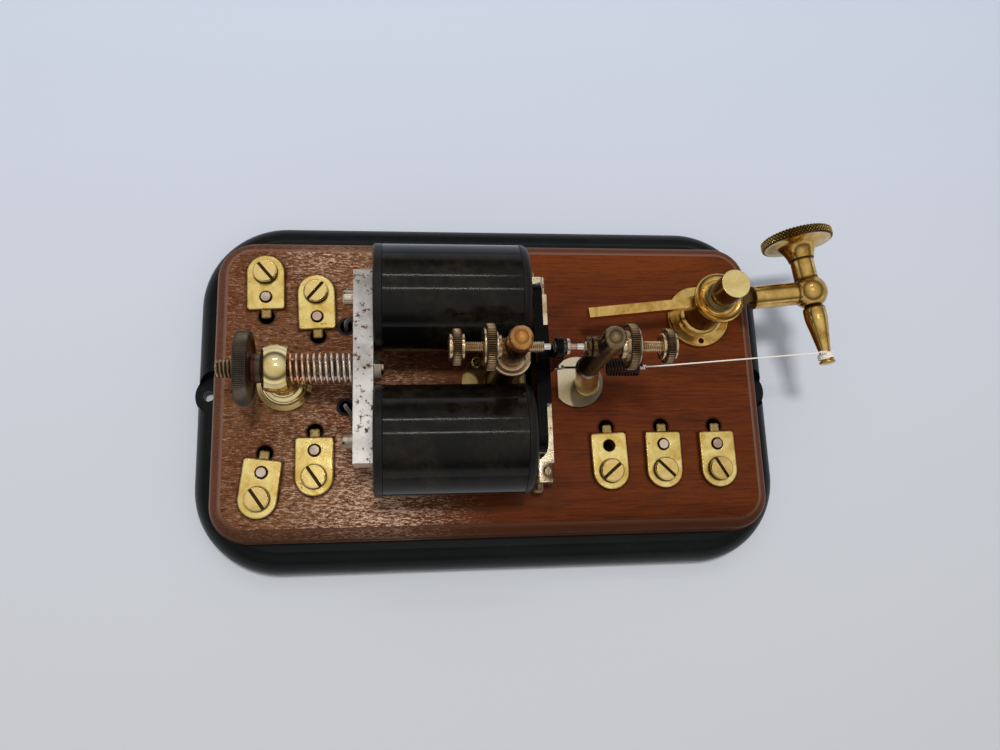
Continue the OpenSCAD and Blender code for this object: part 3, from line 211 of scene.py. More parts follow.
class Graph:
    """A material's node tree, with short calls for the nodes that the finishes use."""

    def __init__(self, name: str) -> None:
        """Starts an empty tree with a Principled shader on its output.

        Args:
            name: name of the new material.
        """
        self.material = bpy.data.materials.new(name)
        self.material.use_nodes = True
        self.tree = self.material.node_tree
        self.tree.nodes.clear()
        self.shader = self.tree.nodes.new("ShaderNodeBsdfPrincipled")
        self._node("OutputMaterial", {"Surface": self.shader.outputs[0]})
        self._object = self.tree.nodes.new("ShaderNodeTexCoord").outputs["Object"]

    def _feed(self, target: Socket, value: object) -> None:
        """Links a socket to a target, or sets its value.

        Args:
            target: input socket.
            value: a socket, a number or a colour.
        """
        if isinstance(value, Socket):
            self.tree.links.new(value, target)
        elif isinstance(value, tuple) and len(value) == 3 and target.type == "RGBA":
            target.default_value = (*value, 1.0)
        else:
            target.default_value = value

    def _node(self, kind: str, inputs: dict[int | str, object],
              **settings: object) -> bpy.types.Node:
        """Adds a node.

        Args:
            kind: its type, without ShaderNode.
            inputs: sockets or values of its inputs, by name or number.
            settings: what else is set on it, before its inputs.

        Returns:
            The node.
        """
        node = self.tree.nodes.new(f"ShaderNode{kind}")
        for name, value in settings.items():
            setattr(node, name, value)
        for key, value in inputs.items():
            self._feed(node.inputs[key], value)
        return node

    def set(self, **values: object) -> None:
        """Sets or links inputs of the shader, with underscores for the spaces in their names."""
        for name, value in values.items():
            self._feed(self.shader.inputs[name.replace("_", " ")], value)

    def coords(self, scale: Triple = (1.0, 1.0, 1.0), turn: Triple = ORIGIN) -> Socket:
        """Object coordinates in millimetres, turned and then stretched.

        Args:
            scale: factors on the three axes.
            turn: rotation in degrees.

        Returns:
            The vector socket.
        """
        node = self._node("Mapping", {"Vector": self._object,
                                      "Rotation": [math.radians(a) for a in turn],
                                      "Scale": [s / MM for s in scale]})
        return node.outputs[0]

    def axis(self, name: str, low: float, high: float) -> Socket:
        """A 0 to 1 ramp along one object axis.

        Args:
            name: X, Y or Z.
            low: place of 0 in millimetres.
            high: place of 1 in millimetres.

        Returns:
            The value socket.
        """
        split = self._node("SeparateXYZ", {0: self._object})
        return self.spread(split.outputs[name], low * MM, high * MM)

    def _vector(self, operation: str, a: object, b: object = ORIGIN) -> bpy.types.Node:
        """A vector arithmetic node on two sockets or vectors."""
        return self._node("VectorMath", {0: a, 1: b}, operation=operation)

    def reach(self, point: Triple, heading: Triple) -> Socket:
        """Distance from a line in millimetres.

        Args:
            point: a point on the line.
            heading: unit vector along it.

        Returns:
            The value socket.
        """
        offset = self._vector("SUBTRACT", self.coords(), point).outputs["Vector"]
        across = self._vector("CROSS_PRODUCT", offset, heading).outputs["Vector"]
        return self._vector("LENGTH", across).outputs["Value"]

    def zone(self, zone: Zone) -> Socket:
        """A value that is the zone's amount inside it, and 0 outside it.

        Args:
            zone: the zone.

        Returns:
            The value socket.
        """
        reach = self.reach(zone.point, zone.heading)
        soft = zone.soft
        inside = self.spread(reach, zone.radius + soft, zone.radius - soft, 0.0, zone.amount)
        if zone.inner > 0.0:
            inside = self.math("MULTIPLY", inside,
                               self.spread(reach, zone.inner - soft, zone.inner + soft))
        if zone.span:
            low, high = zone.span
            offset = self._vector("SUBTRACT", self.coords(), zone.point).outputs["Vector"]
            along = self._vector("DOT_PRODUCT", offset, zone.heading).outputs["Value"]
            inside = self.math("MULTIPLY", inside, self.spread(along, low - soft, low + soft))
            inside = self.math("MULTIPLY", inside, self.spread(along, high + soft, high - soft))
        return inside

    def noise(self, coords: Socket, scale: float, detail: float, rough: float,
              warp: float = 0.0) -> Socket:
        """A noise value.

        Args:
            coords: vector socket in millimetres.
            scale: features per millimetre.
            detail: number of octaves.
            rough: weight of the finer octaves.
            warp: distortion.

        Returns:
            The value socket.
        """
        node = self._node("TexNoise", {"Vector": coords, "Scale": scale, "Detail": detail,
                                       "Roughness": rough, "Distortion": warp})
        return node.outputs["Fac"]

    def ramp(self, value: Socket, stops: Stops) -> Socket:
        """A colour ramp.

        Args:
            value: value socket.
            stops: pairs of place and colour, in order.

        Returns:
            The colour socket.
        """
        node = self._node("ValToRGB", {"Fac": value})
        fill_ramp(node, stops)
        return node.outputs["Color"]

    def spread(self, value: Socket, low: float, high: float, to_low: float = 0.0,
               to_high: float = 1.0) -> Socket:
        """Maps a value's range to another range, clamped.

        Args:
            value: value socket.
            low: value that gives to_low.
            high: value that gives to_high.
            to_low: low end of the result.
            to_high: high end of the result.

        Returns:
            The value socket.
        """
        node = self._node("MapRange", {"Value": value, "From Min": low, "From Max": high,
                                       "To Min": to_low, "To Max": to_high})
        return node.outputs[0]

    def mix(self, amount: object, a: object, b: object) -> Socket:
        """Mixes two colours, by a socket or a number from 0 to 1."""
        # The sockets for colours share their names with others, so they go by number.
        return self._node("Mix", {0: amount, 6: a, 7: b}, data_type="RGBA").outputs[2]

    def math(self, operation: str, a: object, b: object = 0.0) -> Socket:
        """An arithmetic result of two sockets or numbers, clamped to 0 and 1."""
        return self._node("Math", {0: a, 1: b}, operation=operation, use_clamp=True).outputs[0]

    def bump(self, height: Socket, depth: float) -> None:
        """Gives the shader a bumped normal.

        Args:
            height: value socket from 0 to 1.
            depth: height of 1 in millimetres.
        """
        node = self._node("Bump", {"Distance": depth * MM, "Height": height})
        self.set(Normal=node.outputs[0])


@dataclass(frozen=True)
class Metal:
    """A metal with uneven tarnish, fine scratches and, where asked, spots of rust or dirt."""

    name: str
    bright: Colour
    dull: Colour
    polish: Pair = (0.18, 0.38)
    tarnish: Pair = (0.42, 0.62)
    patch: float = 0.09
    spots: Colour = (0.10, 0.05, 0.03)
    spotted: float = 0.0
    spot_size: float = 0.7
    scratch: float = 0.010
    zones: tuple[Zone, ...] = ()

    def build(self) -> bpy.types.Material:
        """Makes the material."""
        g = Graph(self.name)
        place = g.coords()
        patches = g.noise(place, self.patch, 6.0, 0.62, 0.6)
        fine = g.noise(place, self.patch * 14.0, 5.0, 0.7)
        worn = g.math("ADD", g.spread(patches, *self.tarnish), g.spread(fine, 0.5, 0.85, 0.0, 0.3))
        colour = g.mix(worn, self.bright, self.dull)
        rough = g.spread(worn, 0.0, 1.0, *self.polish)
        for zone in self.zones:
            inside = g.zone(zone)
            shade = g.mix(g.spread(fine, 0.3, 0.8, 0.0, 0.2), zone.colour, self.dull)
            colour = g.mix(inside, colour, shade)
            rough = g.math("MAXIMUM", rough, g.spread(inside, 0.0, 1.0, 0.0, zone.rough))
        metallic: object = 1.0
        if self.spotted > 0.0:
            pits = g.noise(place, self.spot_size, 5.0, 0.62)
            pitted = g.spread(pits, 0.68 - self.spotted, 0.76 - self.spotted)
            colour = g.mix(pitted, colour, self.spots)
            metallic = g.spread(pitted, 0.0, 1.0, 1.0, 0.15)
            rough = g.math("MAXIMUM", rough, g.spread(pitted, 0.0, 1.0, 0.0, 0.75))
        scratches = g.noise(g.coords((0.25, 2.6, 1.4), (0.0, 0.0, 24.0)), 3.0, 3.0, 0.7)
        g.set(Base_Color=colour, Metallic=metallic, Roughness=rough)
        g.bump(g.mix(0.5, scratches, fine), self.scratch)
        return g.material


@dataclass(frozen=True)
class Coating:
    """Varnish or hard rubber, a little uneven, with turned lines in it where asked."""

    name: str
    dark: Colour
    worn: Colour
    polish: Pair = (0.28, 0.45)
    grain: float = 0.5
    relief: float = 0.02
    shine: float = 0.35
    turned: float = 0.0

    def build(self) -> bpy.types.Material:
        """Makes the material."""
        g = Graph(self.name)
        place = g.coords()
        patches = g.noise(place, 0.05, 6.0, 0.6, 0.5)
        fine = g.noise(place, self.grain, 5.0, 0.65)
        worn = g.math("MULTIPLY", g.spread(patches, 0.4, 0.75), g.spread(fine, 0.3, 0.7))
        g.set(Base_Color=g.mix(worn, self.dark, self.worn), Specular_IOR_Level=self.shine,
              Roughness=g.spread(g.mix(0.5, patches, fine), 0.3, 0.7, *self.polish))
        lines = g.noise(g.coords((4.0, 0.10, 0.10)), 1.2, 5.0, 0.75)
        g.bump(g.mix(self.turned, fine, lines), self.relief)
        return g.material


@dataclass(frozen=True)
class Mahogany:
    """Mahogany with its grain along X: polished at the right, with open pores at the left, and
    with painted glints, painted sheen and painted shade in its colour.
    """

    name: str
    deep: Colour = (0.026, 0.006, 0.001)
    red: Colour = (0.088, 0.0130, 0.0008)
    warm: Colour = (0.158, 0.032, 0.0020)
    bloom: Colour = (0.165, 0.068, 0.026)
    glint: Colour = (0.740, 0.500, 0.360)
    # edge is a painted sheen on the moulded edge, line its painted highlight lines, and shade the
    # painted shade they turn to along the front.
    edge: Colour = (0.095, 0.036, 0.022)
    line: Colour = (0.260, 0.165, 0.125)
    shade: Colour = (0.044, 0.0160, 0.0075)
    near_glints: Triple = (-36.0, -44.0, 0.0)
    far_glints: Triple = (-62.0, 56.0, 0.0)
    # halo_r, halo_back, hole_r and hole_back place the painted shade round each terminal and in
    # the hole behind it.
    halo_r: float = 7.55
    halo_back: float = -5.4
    hole_r: float = 3.5
    hole_back: float = 7.2
    polish: Pair = (0.22, 0.36)
    shine: float = 0.06

    def build(self) -> bpy.types.Material:
        """Makes the material."""
        g = Graph(self.name)
        bands = g.noise(g.coords((0.10, 1.0, 1.0), (0.0, 0.0, 2.5)), 0.06, 5.0, 0.55, 0.8)
        grain = g.noise(g.coords((0.05, 1.0, 1.0), (0.0, 0.0, 1.5)), 1.3, 6.0, 0.7, 0.3)
        stain = g.noise(g.coords((0.5, 1.0, 1.0)), 0.05, 4.0, 0.6, 0.5)
        streaks = g.noise(g.coords((0.15, 1.0, 1.0), (0.0, 0.0, 2.0)), 1.9, 5.0, 0.78)
        left = g.math("MULTIPLY", g.axis("X", 0.0, -36.0), g.spread(stain, 0.25, 0.5, 0.7, 1.0))
        body = g.ramp(bands, ((0.25, self.deep), (0.48, self.red), (0.78, self.warm)))
        body = g.mix(g.spread(grain, 0.42, 0.72, 0.0, 0.8), body, self.warm)
        body = g.mix(g.spread(grain, 0.48, 0.30, 0.0, 0.7), body, self.deep)
        body = g.mix(g.spread(stain, 0.52, 0.72, 0.0, 0.6), body, self.deep)
        body = g.mix(g.spread(g.axis("Y", 0.0, -52.0), 0.0, 1.0, 0.0, 0.20), body, self.deep)
        body = self._wear_and_glints(g, body, left, streaks)
        body = self._surround(g, body)
        rough = g.spread(g.mix(0.5, bands, streaks), 0.3, 0.7, *self.polish)
        rough = g.math("MAXIMUM", rough, g.spread(left, 0.0, 1.0, 0.0, 0.46))
        g.set(Base_Color=body, Roughness=rough, Specular_IOR_Level=self.shine)
        g.bump(g.mix(0.6, streaks, grain), 0.03)
        return g.material

    def _wear_and_glints(self, g: Graph, body: Socket, left: Socket, streaks: Socket) -> Socket:
        """Adds the left half's bloom and open pores, and pale flecks that are painted glints of
        light.

        Args:
            g: the tree.
            body: colour of the board.
            left: 1 where the polish is gone and 0 where it is whole.
            streaks: fine streaks along the grain.

        Returns:
            The colour socket.
        """
        cloud = g.noise(g.coords((0.6, 1.0, 1.0)), 0.035, 3.0, 0.6, 0.6)
        bloom = g.math("MULTIPLY", left, g.spread(cloud, 0.38, 0.6, 0.35, 0.95))
        body = g.mix(bloom, body, self.bloom)
        pores = g.math("MULTIPLY", g.spread(streaks, 0.49, 0.60),
                       g.spread(left, 0.0, 1.0, 0.3, 0.9))
        body = g.mix(pores, body, self.deep)
        # Pale flecks: painted glints of light on the open pores, thickest round two spots.
        near = g.spread(g.reach(self.near_glints, UP), 62.0, 14.0, 0.35, 1.0)
        far = g.spread(g.reach(self.far_glints, UP), 27.0, 4.0, 0.35, 1.0)
        worn = g.math("MULTIPLY", left, g.math("MAXIMUM", near, far))
        glint_noise = g.noise(g.coords((0.26, 1.0, 1.0), (0.0, 0.0, -3.0)), 2.1, 5.0, 0.8, 0.3)
        glint_noise = g.math("ADD", glint_noise, g.spread(worn, 0.2, 1.0, -0.02, 0.045))
        glints = g.math("MULTIPLY", g.spread(glint_noise, 0.53, 0.60), g.spread(worn, 0.0, 1.0, 0.0, 0.9))
        return g.mix(glints, body, self.glint)

    def _surround(self, g: Graph, body: Socket) -> Socket:
        """Adds a painted sheen and painted highlight lines on the moulded edge, turning to painted
        shade along the front, and painted shade round the terminals.

        Args:
            g: the tree.
            body: colour of the board.

        Returns:
            The colour socket.
        """
        # Painted sheen and painted highlight lines on the moulded edge, turning to painted shade
        # along the front.
        for low, high, colour, amount in ((-5.2, -0.4, self.edge, 0.75),
                                          (-5.4, -4.5, self.line, 0.7),
                                          (-0.75, -0.1, self.line, 0.5)):
            band = layer(BOARD_TOP + low, BOARD_TOP + high, colour, 0.12, amount)
            shade = g.mix(g.axis("Y", -44.0, -55.0), colour, self.shade)
            body = g.mix(g.zone(band), body, shade)
        # Painted shade round each terminal's plate and screw, and in the hole behind it.
        for pin, ahead in terminals():
            screw, hole = pin + TERMINAL_PITCH * ahead, pin - self.hole_back * ahead
            for dark in (Zone(tuple(pin), tuple(ahead), self.halo_r, self.deep,
                              (self.halo_back, TERMINAL_PITCH), 0.55, 0.85),
                         Zone(tuple(screw), UP, self.halo_r, self.deep, soft=0.55, amount=0.85),
                         Zone(tuple(hole), UP, self.hole_r, self.deep, soft=0.5, amount=0.9)):
                body = g.mix(g.zone(dark), body, self.deep)
        return body


@dataclass(frozen=True)
class WireMetal:
    """Spring wire that goes from one metal's colour to another's along X."""

    name: str
    left: Colour
    right: Colour
    span: Pair
    polish: Pair = (0.22, 0.40)

    def build(self) -> bpy.types.Material:
        """Makes the material."""
        g = Graph(self.name)
        fine = g.noise(g.coords(), 0.8, 5.0, 0.6)
        along = g.math("ADD", g.axis("X", *self.span), g.spread(fine, 0.4, 0.8, 0.0, 0.35))
        g.set(Base_Color=g.mix(along, self.left, self.right), Metallic=1.0,
              Roughness=g.spread(fine, 0.3, 0.7, *self.polish))
        return g.material


@dataclass(frozen=True)
class Fibre:
    """Silk or cotton: rough, with a soft sheen."""

    name: str
    colour: Colour
    shade: Colour

    def build(self) -> bpy.types.Material:
        """Makes the material."""
        g = Graph(self.name)
        fine = g.noise(g.coords(), 6.0, 3.0, 0.6)
        g.set(Base_Color=g.mix(fine, self.shade, self.colour), Roughness=0.8, Sheen_Weight=0.4)
        g.bump(fine, 0.03)
        return g.material


def terminal_shade_rings() -> tuple[Zone, ...]:
    """Painted shade in rings round the terminals' pins and screws, and a brown spot behind each
    pin.

    Returns:
        The zones.
    """
    zones = []
    for pin, ahead in terminals():
        zones.append(Zone(tuple(pin), UP, 2.3, PAINTED_SHADE))
        zones.append(Zone(tuple(pin + TERMINAL_PITCH * ahead), UP, 4.75, PAINTED_SHADE, amount=0.8))
        zones.append(Zone(tuple(pin - 6.6 * ahead), UP, 1.9, TARNISH, soft=0.6, amount=0.75))
    return tuple(zones)


# Brass of the plates, screws, tension rod and spindle.
BRASSES = (
    Metal("plate_brass", (0.98, 0.79, 0.32), (0.68, 0.45, 0.11), (0.18, 0.36),
          (0.36, 0.66), 0.16, (0.16, 0.09, 0.03), 0.04, 0.4, zones=terminal_shade_rings()),
    Metal("polished_brass", (0.92, 0.68, 0.24), (0.58, 0.38, 0.12), (0.16, 0.34), SPOTLESS),
    # The screws are painted dark below the heads' tops, a painted shade in the slots and round the
    # heads.
    Metal("slotted_brass", (0.92, 0.69, 0.27), (0.62, 0.41, 0.13), (0.16, 0.34),
          SPOTLESS, zones=(layer(0.0, 28.3, PAINTED_SHADE, 0.12, 1.0, 0.6),)),
    # Painted shade on the post's column below the cap, in the rod's step from square to round, at
    # the ball's seam and at the spindle's steps.
    Metal("golden_brass", (0.82, 0.55, 0.18), (0.44, 0.25, 0.055), (0.10, 0.28),
          (0.36, 0.66), 0.14, zones=(
              Zone(TENSION_AT, UP, 6.9, UNDERHEAD_SHADE, (-16.0, 4.4), 0.3, 0.75),
              Zone(TENSION_AT, UP, 5.6, UNDERHEAD_SHADE, (4.4, 10.9), 0.4, 0.85, 0.3),
              Zone(TENSION_AT, ROD_ALONG, 6.0, PAINTED_SHADE, (9.0, 14.95), 0.25, 0.9),
              Zone(TENSION_AT, ROD_ALONG, 6.0, PAINTED_SHADE, (31.6, 32.5), 0.3, 0.85),
              Zone(SPINDLE_AT, SPINDLE_ALONG, 4.9, PAINTED_SHADE, (4.4, 5.6), 0.3, 0.85),
              Zone(SPINDLE_AT, SPINDLE_ALONG, 6.0, PAINTED_SHADE, (12.3, 13.4), 0.25, 0.85),
              Zone(SPINDLE_AT, SPINDLE_ALONG, 6.0, PAINTED_SHADE, (-7.0, -5.7), 0.3, 0.9))),
    # The cap is painted dark round its neck, a painted shade under its dish.
    Metal("cap_brass", (0.98, 0.80, 0.36), (0.72, 0.50, 0.18), (0.16, 0.32), SPOTLESS,
          zones=(Zone(TENSION_AT, UP, 9.0, UNDERHEAD_SHADE, (-5.0, 20.4), 0.5, 0.85, 0.3),)),
    # Painted shade in the knob's knurl grooves and at two steps of the spindle.
    Metal("spindle_brass", (0.82, 0.55, 0.18), (0.42, 0.24, 0.055), (0.10, 0.28),
          (0.36, 0.66), 0.14, zones=(
              Zone(SPINDLE_AT, SPINDLE_ALONG, 13.16, (0.016, 0.009, 0.004),
                   (19.4, 23.0), 0.09, 0.97, 0.5, inner=12.5),
              Zone(SPINDLE_AT, SPINDLE_ALONG, 6.0, PAINTED_SHADE, (12.8, 13.3), 0.15, 0.9),
              Zone(SPINDLE_AT, SPINDLE_ALONG, 6.0, PAINTED_SHADE, (-6.8, -6.0), 0.15, 0.9))),
    Metal("pin_brass", (0.74, 0.60, 0.50), (0.46, 0.33, 0.25), (0.22, 0.42)))

# Darker, older metal of the wheel, its rod and the contact screws.
BRONZES = (
    Metal("wheel_bronze", (0.15, 0.125, 0.095), (0.070, 0.056, 0.042), (0.34, 0.52),
          PATCHY, zones=(Zone((0.0, 0.0, AXIS_Z), ALONG_X, 11.6, (0.09, 0.030, 0.018),
                              (-87.2, -84.5), 0.3, 0.9, 0.4),)),
    Metal("rod_bronze", (0.40, 0.28, 0.16), (0.13, 0.08, 0.05), (0.22, 0.42)),
    # The knurled rim is painted darker, darkest in its grooves, a painted shade.
    Metal("screw_bronze", (0.84, 0.66, 0.42), (0.44, 0.29, 0.16), (0.14, 0.30), PATCHY,
          zones=(Zone(KNOB_AXIS, ALONG_X, 9.0, (0.26, 0.17, 0.10), None, 0.2, 0.9, 0.3, inner=4.9),
                 Zone(KNOB_AXIS, ALONG_X, 5.68, GROOVE_SHADE, None, 0.06, 0.95, 0.5, inner=4.9))),
    # The knurled rim is painted darker, darkest in its grooves, a painted shade.
    Metal("nut_bronze", (0.80, 0.62, 0.40), (0.38, 0.26, 0.15), (0.16, 0.34), PATCHY,
          zones=(Zone(KNOB_AXIS, ALONG_X, 9.0, (0.24, 0.155, 0.085), None, 0.2, 0.9,
                      0.3, inner=6.5),
                 Zone(KNOB_AXIS, ALONG_X, 7.36, GROOVE_SHADE, None, 0.06, 0.95, 0.5, inner=6.5))))

# Metal of the posts, in layers by height, partly painted light and shade.
POSTS = (
    # Painted shade on the body under the dome, a pale collar, painted shadow from the collar down
    # over the foot, and two painted pools of light on the foot.
    Metal("left_post_metal", (0.86, 0.42, 0.11), (0.50, 0.22, 0.065), (0.22, 0.40), PATCHY, zones=(
              layer(67.9, 87.4, (0.070, 0.030, 0.014), 0.8, 0.9, 0.25),
              layer(64.8, 67.9, (0.84, 0.70, 0.46), 0.3, 0.9, 0.2),
              layer(-20.0, 64.8, (0.020, 0.013, 0.009), 0.3, 0.92, 0.4),
              Zone((-11.4, -0.5, 0.0), UP, 4.2, (0.88, 0.66, 0.28), (20.0, 30.0), 0.5, 0.9, 0.25),
              Zone((12.4, 0.5, 0.0), UP, 3.4, (0.85, 0.66, 0.30), (20.0, 30.0), 0.5, 0.9, 0.25))),
    # Painted shade on the body under the dome, a pale foot with a painted shadow on its right, a
    # golden band on the column and a painted highlight ring above it.
    Metal("right_post_metal", (0.33, 0.22, 0.11), (0.13, 0.085, 0.045), (0.20, 0.38),
          PATCHY, zones=(
              layer(53.5, 86.6, (0.060, 0.032, 0.016), 0.8, 0.8, 0.25),
              layer(-20.0, 27.1, (0.62, 0.57, 0.48), 0.2, 0.95, 0.34),
              layer(27.1, 49.8, (1.0, 0.76, 0.30), 0.3, 0.97, 0.26),
              Zone((38.0, -5.0, 0.0), UP, 10.0, (0.15, 0.12, 0.085), (10.0, 27.7), 0.5, 0.9, 0.40),
              layer(50.1, 52.3, (0.94, 0.90, 0.82), 0.3, 0.95, 0.16))),
    Metal("ball_metal", (0.95, 0.81, 0.44), (0.80, 0.57, 0.20), (0.08, 0.20), (0.4, 0.7),
          zones=(Zone((-78.3, 0.0, 0.0), UP, 40.0, (0.90, 0.64, 0.22), None, 0.6, 0.85,
                      0.2, inner=8.9),)))

# Iron, steel, silver, nickel and copper.
IRONS = (
    # The yoke's front half is painted paler, a painted sheen.
    Metal("yoke_iron", (0.60, 0.575, 0.55), (0.38, 0.35, 0.325), (0.30, 0.48),
          (0.4, 0.7), spots=(0.085, 0.036, 0.020), spotted=0.115, spot_size=0.55,
          zones=(Zone((-52.0, 0.0, 58.0), (0.0, 1.0, 0.0), 90.0, (0.92, 0.88, 0.84),
                      (-60.0, -10.0), 9.0, 0.75, 0.30),)),
    Metal("core_screw_metal", (0.74, 0.64, 0.50), (0.34, 0.27, 0.20), (0.2, 0.4)),
    Metal("bright_steel", (0.62, 0.60, 0.57), (0.30, 0.27, 0.24), (0.2, 0.4)),
    Metal("dark_steel", (0.10, 0.08, 0.07), (0.035, 0.028, 0.024), (0.18, 0.36), zones=(
        Zone(KNOB_AXIS, ALONG_X, 9.0, (0.62, 0.54, 0.46), None, 0.06, 0.95, 0.2, inner=2.4),
        Zone(KNOB_AXIS, ALONG_X, 1.6, (0.74, 0.46, 0.36), (17.1, 21.0), 0.1, 0.9, 0.25))),
    Metal("contact_silver", (0.88, 0.86, 0.83), (0.6, 0.55, 0.5), (0.12, 0.3)),
    Metal("frame_nickel", (0.86, 0.74, 0.54), (0.50, 0.36, 0.20), (0.20, 0.40),
          (0.4, 0.7), spots=(0.12, 0.05, 0.022), spotted=0.115,
          zones=(Zone((17.4, -35.0, 0.0), UP, 3.4, (0.10, 0.045, 0.020), soft=0.9, amount=0.9),)),
    Metal("copper", (0.72, 0.40, 0.24), (0.40, 0.20, 0.12), (0.3, 0.5)))

# Black coats and rubber, wood, spring wire and thread.
COATS = (
    Coating("japanned_iron", (0.0025, 0.0035, 0.0035), (0.007, 0.009, 0.009),
            (0.30, 0.46), 0.35, 0.04, 0.16),
    Coating("black_iron", (0.0012, 0.0013, 0.0015), (0.004, 0.0038, 0.0038),
            (0.10, 0.20), shine=0.07),
    Coating("ebonite", (0.006, 0.005, 0.0045), (0.018, 0.014, 0.011), (0.3, 0.45), 0.3,
            0.015, 0.2),
    Coating("coil_rubber", (0.002, 0.0018, 0.0018), (0.024, 0.019, 0.012), (0.07, 0.13),
            0.3, 0.010, 0.20, 0.7),
    Coating("cover_plate", (0.05, 0.03, 0.02), (0.10, 0.07, 0.05), (0.5, 0.7)),
    Mahogany("mahogany"),
    WireMetal("magnet_spring_wire", (0.95, 0.52, 0.30), (0.90, 0.80, 0.70),
              (-72.0, -60.0), (0.14, 0.30)),
    WireMetal("blued_wire", (0.020, 0.017, 0.018), (0.035, 0.028, 0.026), (20.0, 55.0)),
    Fibre("silk", (0.93, 0.88, 0.81), (0.74, 0.66, 0.57)),
    Fibre("cotton", (0.020, 0.015, 0.012), (0.010, 0.008, 0.006)))


class Finishes:
    """Every finish on the relay, made once."""

    def __init__(self) -> None:
        """Builds the materials."""
        specs = (*BRASSES, *BRONZES, *POSTS, *IRONS, *COATS)
        self._made = {spec.name: spec.build() for spec in specs}

    def __getitem__(self, name: str) -> bpy.types.Material:
        """The material with that name."""
        return self._made[name]


@dataclass(frozen=True)
class Bend:
    """Where a piece runs from its own body to another, in millimetres; such a piece is only left
    unparented, and these fields are not read.
    """

    other: str
    start: Triple
    end: Triple


@dataclass(frozen=True)
class Piece:
    """The finished piece of one CAD node.

    Its body is the CAD body that it rides on. The bevel, in millimetres, softens its sharp
    edges, and unless clamp is off the shortest edge limits it. Faces that meet at less than
    smooth degrees are shaded as one surface.
    """

    node: str
    body: str
    finish: str
    bevel: float = 0.0
    smooth: float = 32.0
    clamp: bool = True
    bend: Bend | None = None


@dataclass
class Workshop:
    """Makes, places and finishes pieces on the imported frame.

    Vertices nearer than merge in millimetres, or cad_merge in metres, become one. Edges of a
    CAD node flatter than flat radians are dissolved, and those sharper than bevel_from degrees
    are bevelled.
    """

    frame: dict
    finishes: Finishes
    merge: float = 1e-4
    cad_merge: float = 2e-6
    flat: float = 0.002
    bevel_from: float = 38.0
    count: int = 0
    slots: dict[str, str] = field(init=False)

    def __post_init__(self) -> None:
        """Reads which material slot each CAD node has."""
        parts = self.frame["record"]["subparts"]
        self.slots = {part["node"]: part["material_slot"] for part in parts}

    def add(self, piece: Piece, bm: Shape, making: Making) -> None:
        """Finishes a piece that is modelled here.

        Args:
            piece: the piece.
            bm: its mesh in millimetres, which is freed.
            making: how it is made.
        """
        bmesh.ops.remove_doubles(bm, verts=bm.verts, dist=self.merge)
        bmesh.ops.recalc_face_normals(bm, faces=bm.faces)
        bmesh.ops.scale(bm, vec=(MM, MM, MM), verts=bm.verts)
        self._finish(piece, bm, making)

    def dress(self, *pieces: Piece) -> None:
        """Finishes merged copies of CAD nodes.

        Args:
            pieces: the pieces.
        """
        for piece in pieces:
            bm = bmesh.new()
            bm.from_mesh(self.frame["nodes"][piece.node].data)
            bmesh.ops.remove_doubles(bm, verts=bm.verts, dist=self.cad_merge)
            flat = [edge for edge in bm.edges
                    if len(edge.link_faces) == 2 and edge.calc_face_angle(1.0) < self.flat]
            bmesh.ops.dissolve_edges(bm, edges=flat, use_verts=False, use_face_split=False)
            self._finish(piece, bm, Making.DRESSED)

    def _finish(self, piece: Piece, bm: Shape, making: Making) -> None:
        """Makes the object, with its shading, bevel, material and place in the frame.

        Args:
            piece: the piece.
            bm: its mesh in metres, which is freed.
            making: how it is made.
        """
        limit = math.radians(piece.smooth)
        for face in bm.faces:
            face.smooth = True
        for edge in bm.edges:
            edge.smooth = not (len(edge.link_faces) == 2 and edge.calc_face_angle(0.0) > limit)
        name = f"{piece.node}_{making.value}"
        mesh = bpy.data.meshes.new(name)
        bm.to_mesh(mesh)
        bm.free()
        mesh.materials.append(self.finishes[piece.finish])
        obj = bpy.data.objects.new(name, mesh)
        bpy.context.scene.collection.objects.link(obj)
        if piece.bevel > 0.0:
            soft = obj.modifiers.new("soft_edges", "BEVEL")
            soft.width = piece.bevel * MM
            soft.segments = 2
            soft.limit_method = "ANGLE"
            soft.angle_limit = math.radians(self.bevel_from)
            soft.harden_normals = True
            soft.use_clamp_overlap = piece.clamp
        bend = piece.bend
        if bend:
            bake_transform(obj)
        else:
            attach(obj, piece.body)
        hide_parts(piece.node)
        self.count += 1
        LOG.info("%s on %s", name, piece.body)


def place(bm: Shape, matrix: Matrix) -> Shape:
    """Moves a whole bmesh by a matrix in millimetres, and returns it."""
    bmesh.ops.transform(bm, matrix=matrix, verts=bm.verts)
    return bm


def moved(x: float, y: float, z: float) -> Matrix:
    """A translation."""
    return Matrix.Translation((x, y, z))


def join(*parts: Shape) -> Shape:
    """Puts several bmeshes into the first and frees the others.

    Args:
        parts: the bmeshes.

    Returns:
        The first bmesh.
    """
    first = parts[0]
    for part in parts[1:]:
        scratch = bpy.data.meshes.new("scratch")
        part.to_mesh(scratch)
        part.free()
        first.from_mesh(scratch)
        bpy.data.meshes.remove(scratch)
    return first


def lathe(profile: Profile, steps: int) -> Shape:
    """Turns a profile into a closed solid of revolution about X.

    Args:
        profile: points of place along the axis and radius, from one end to the other.
        steps: number of steps round the axis.

    Returns:
        The new bmesh, its axis through the origin.
    """
    bm = bmesh.new()
    row = [bm.verts.new((along, 0.0, radius)) for along, radius in profile]
    edges = [bm.edges.new(pair) for pair in zip(row, row[1:])]
    bmesh.ops.spin(bm, geom=row + edges, cent=ORIGIN, axis=ALONG_X, angle=TAU, steps=steps,
                   use_merge=True, use_duplicate=False)
    bmesh.ops.remove_doubles(bm, verts=bm.verts, dist=1e-5)
    return bm


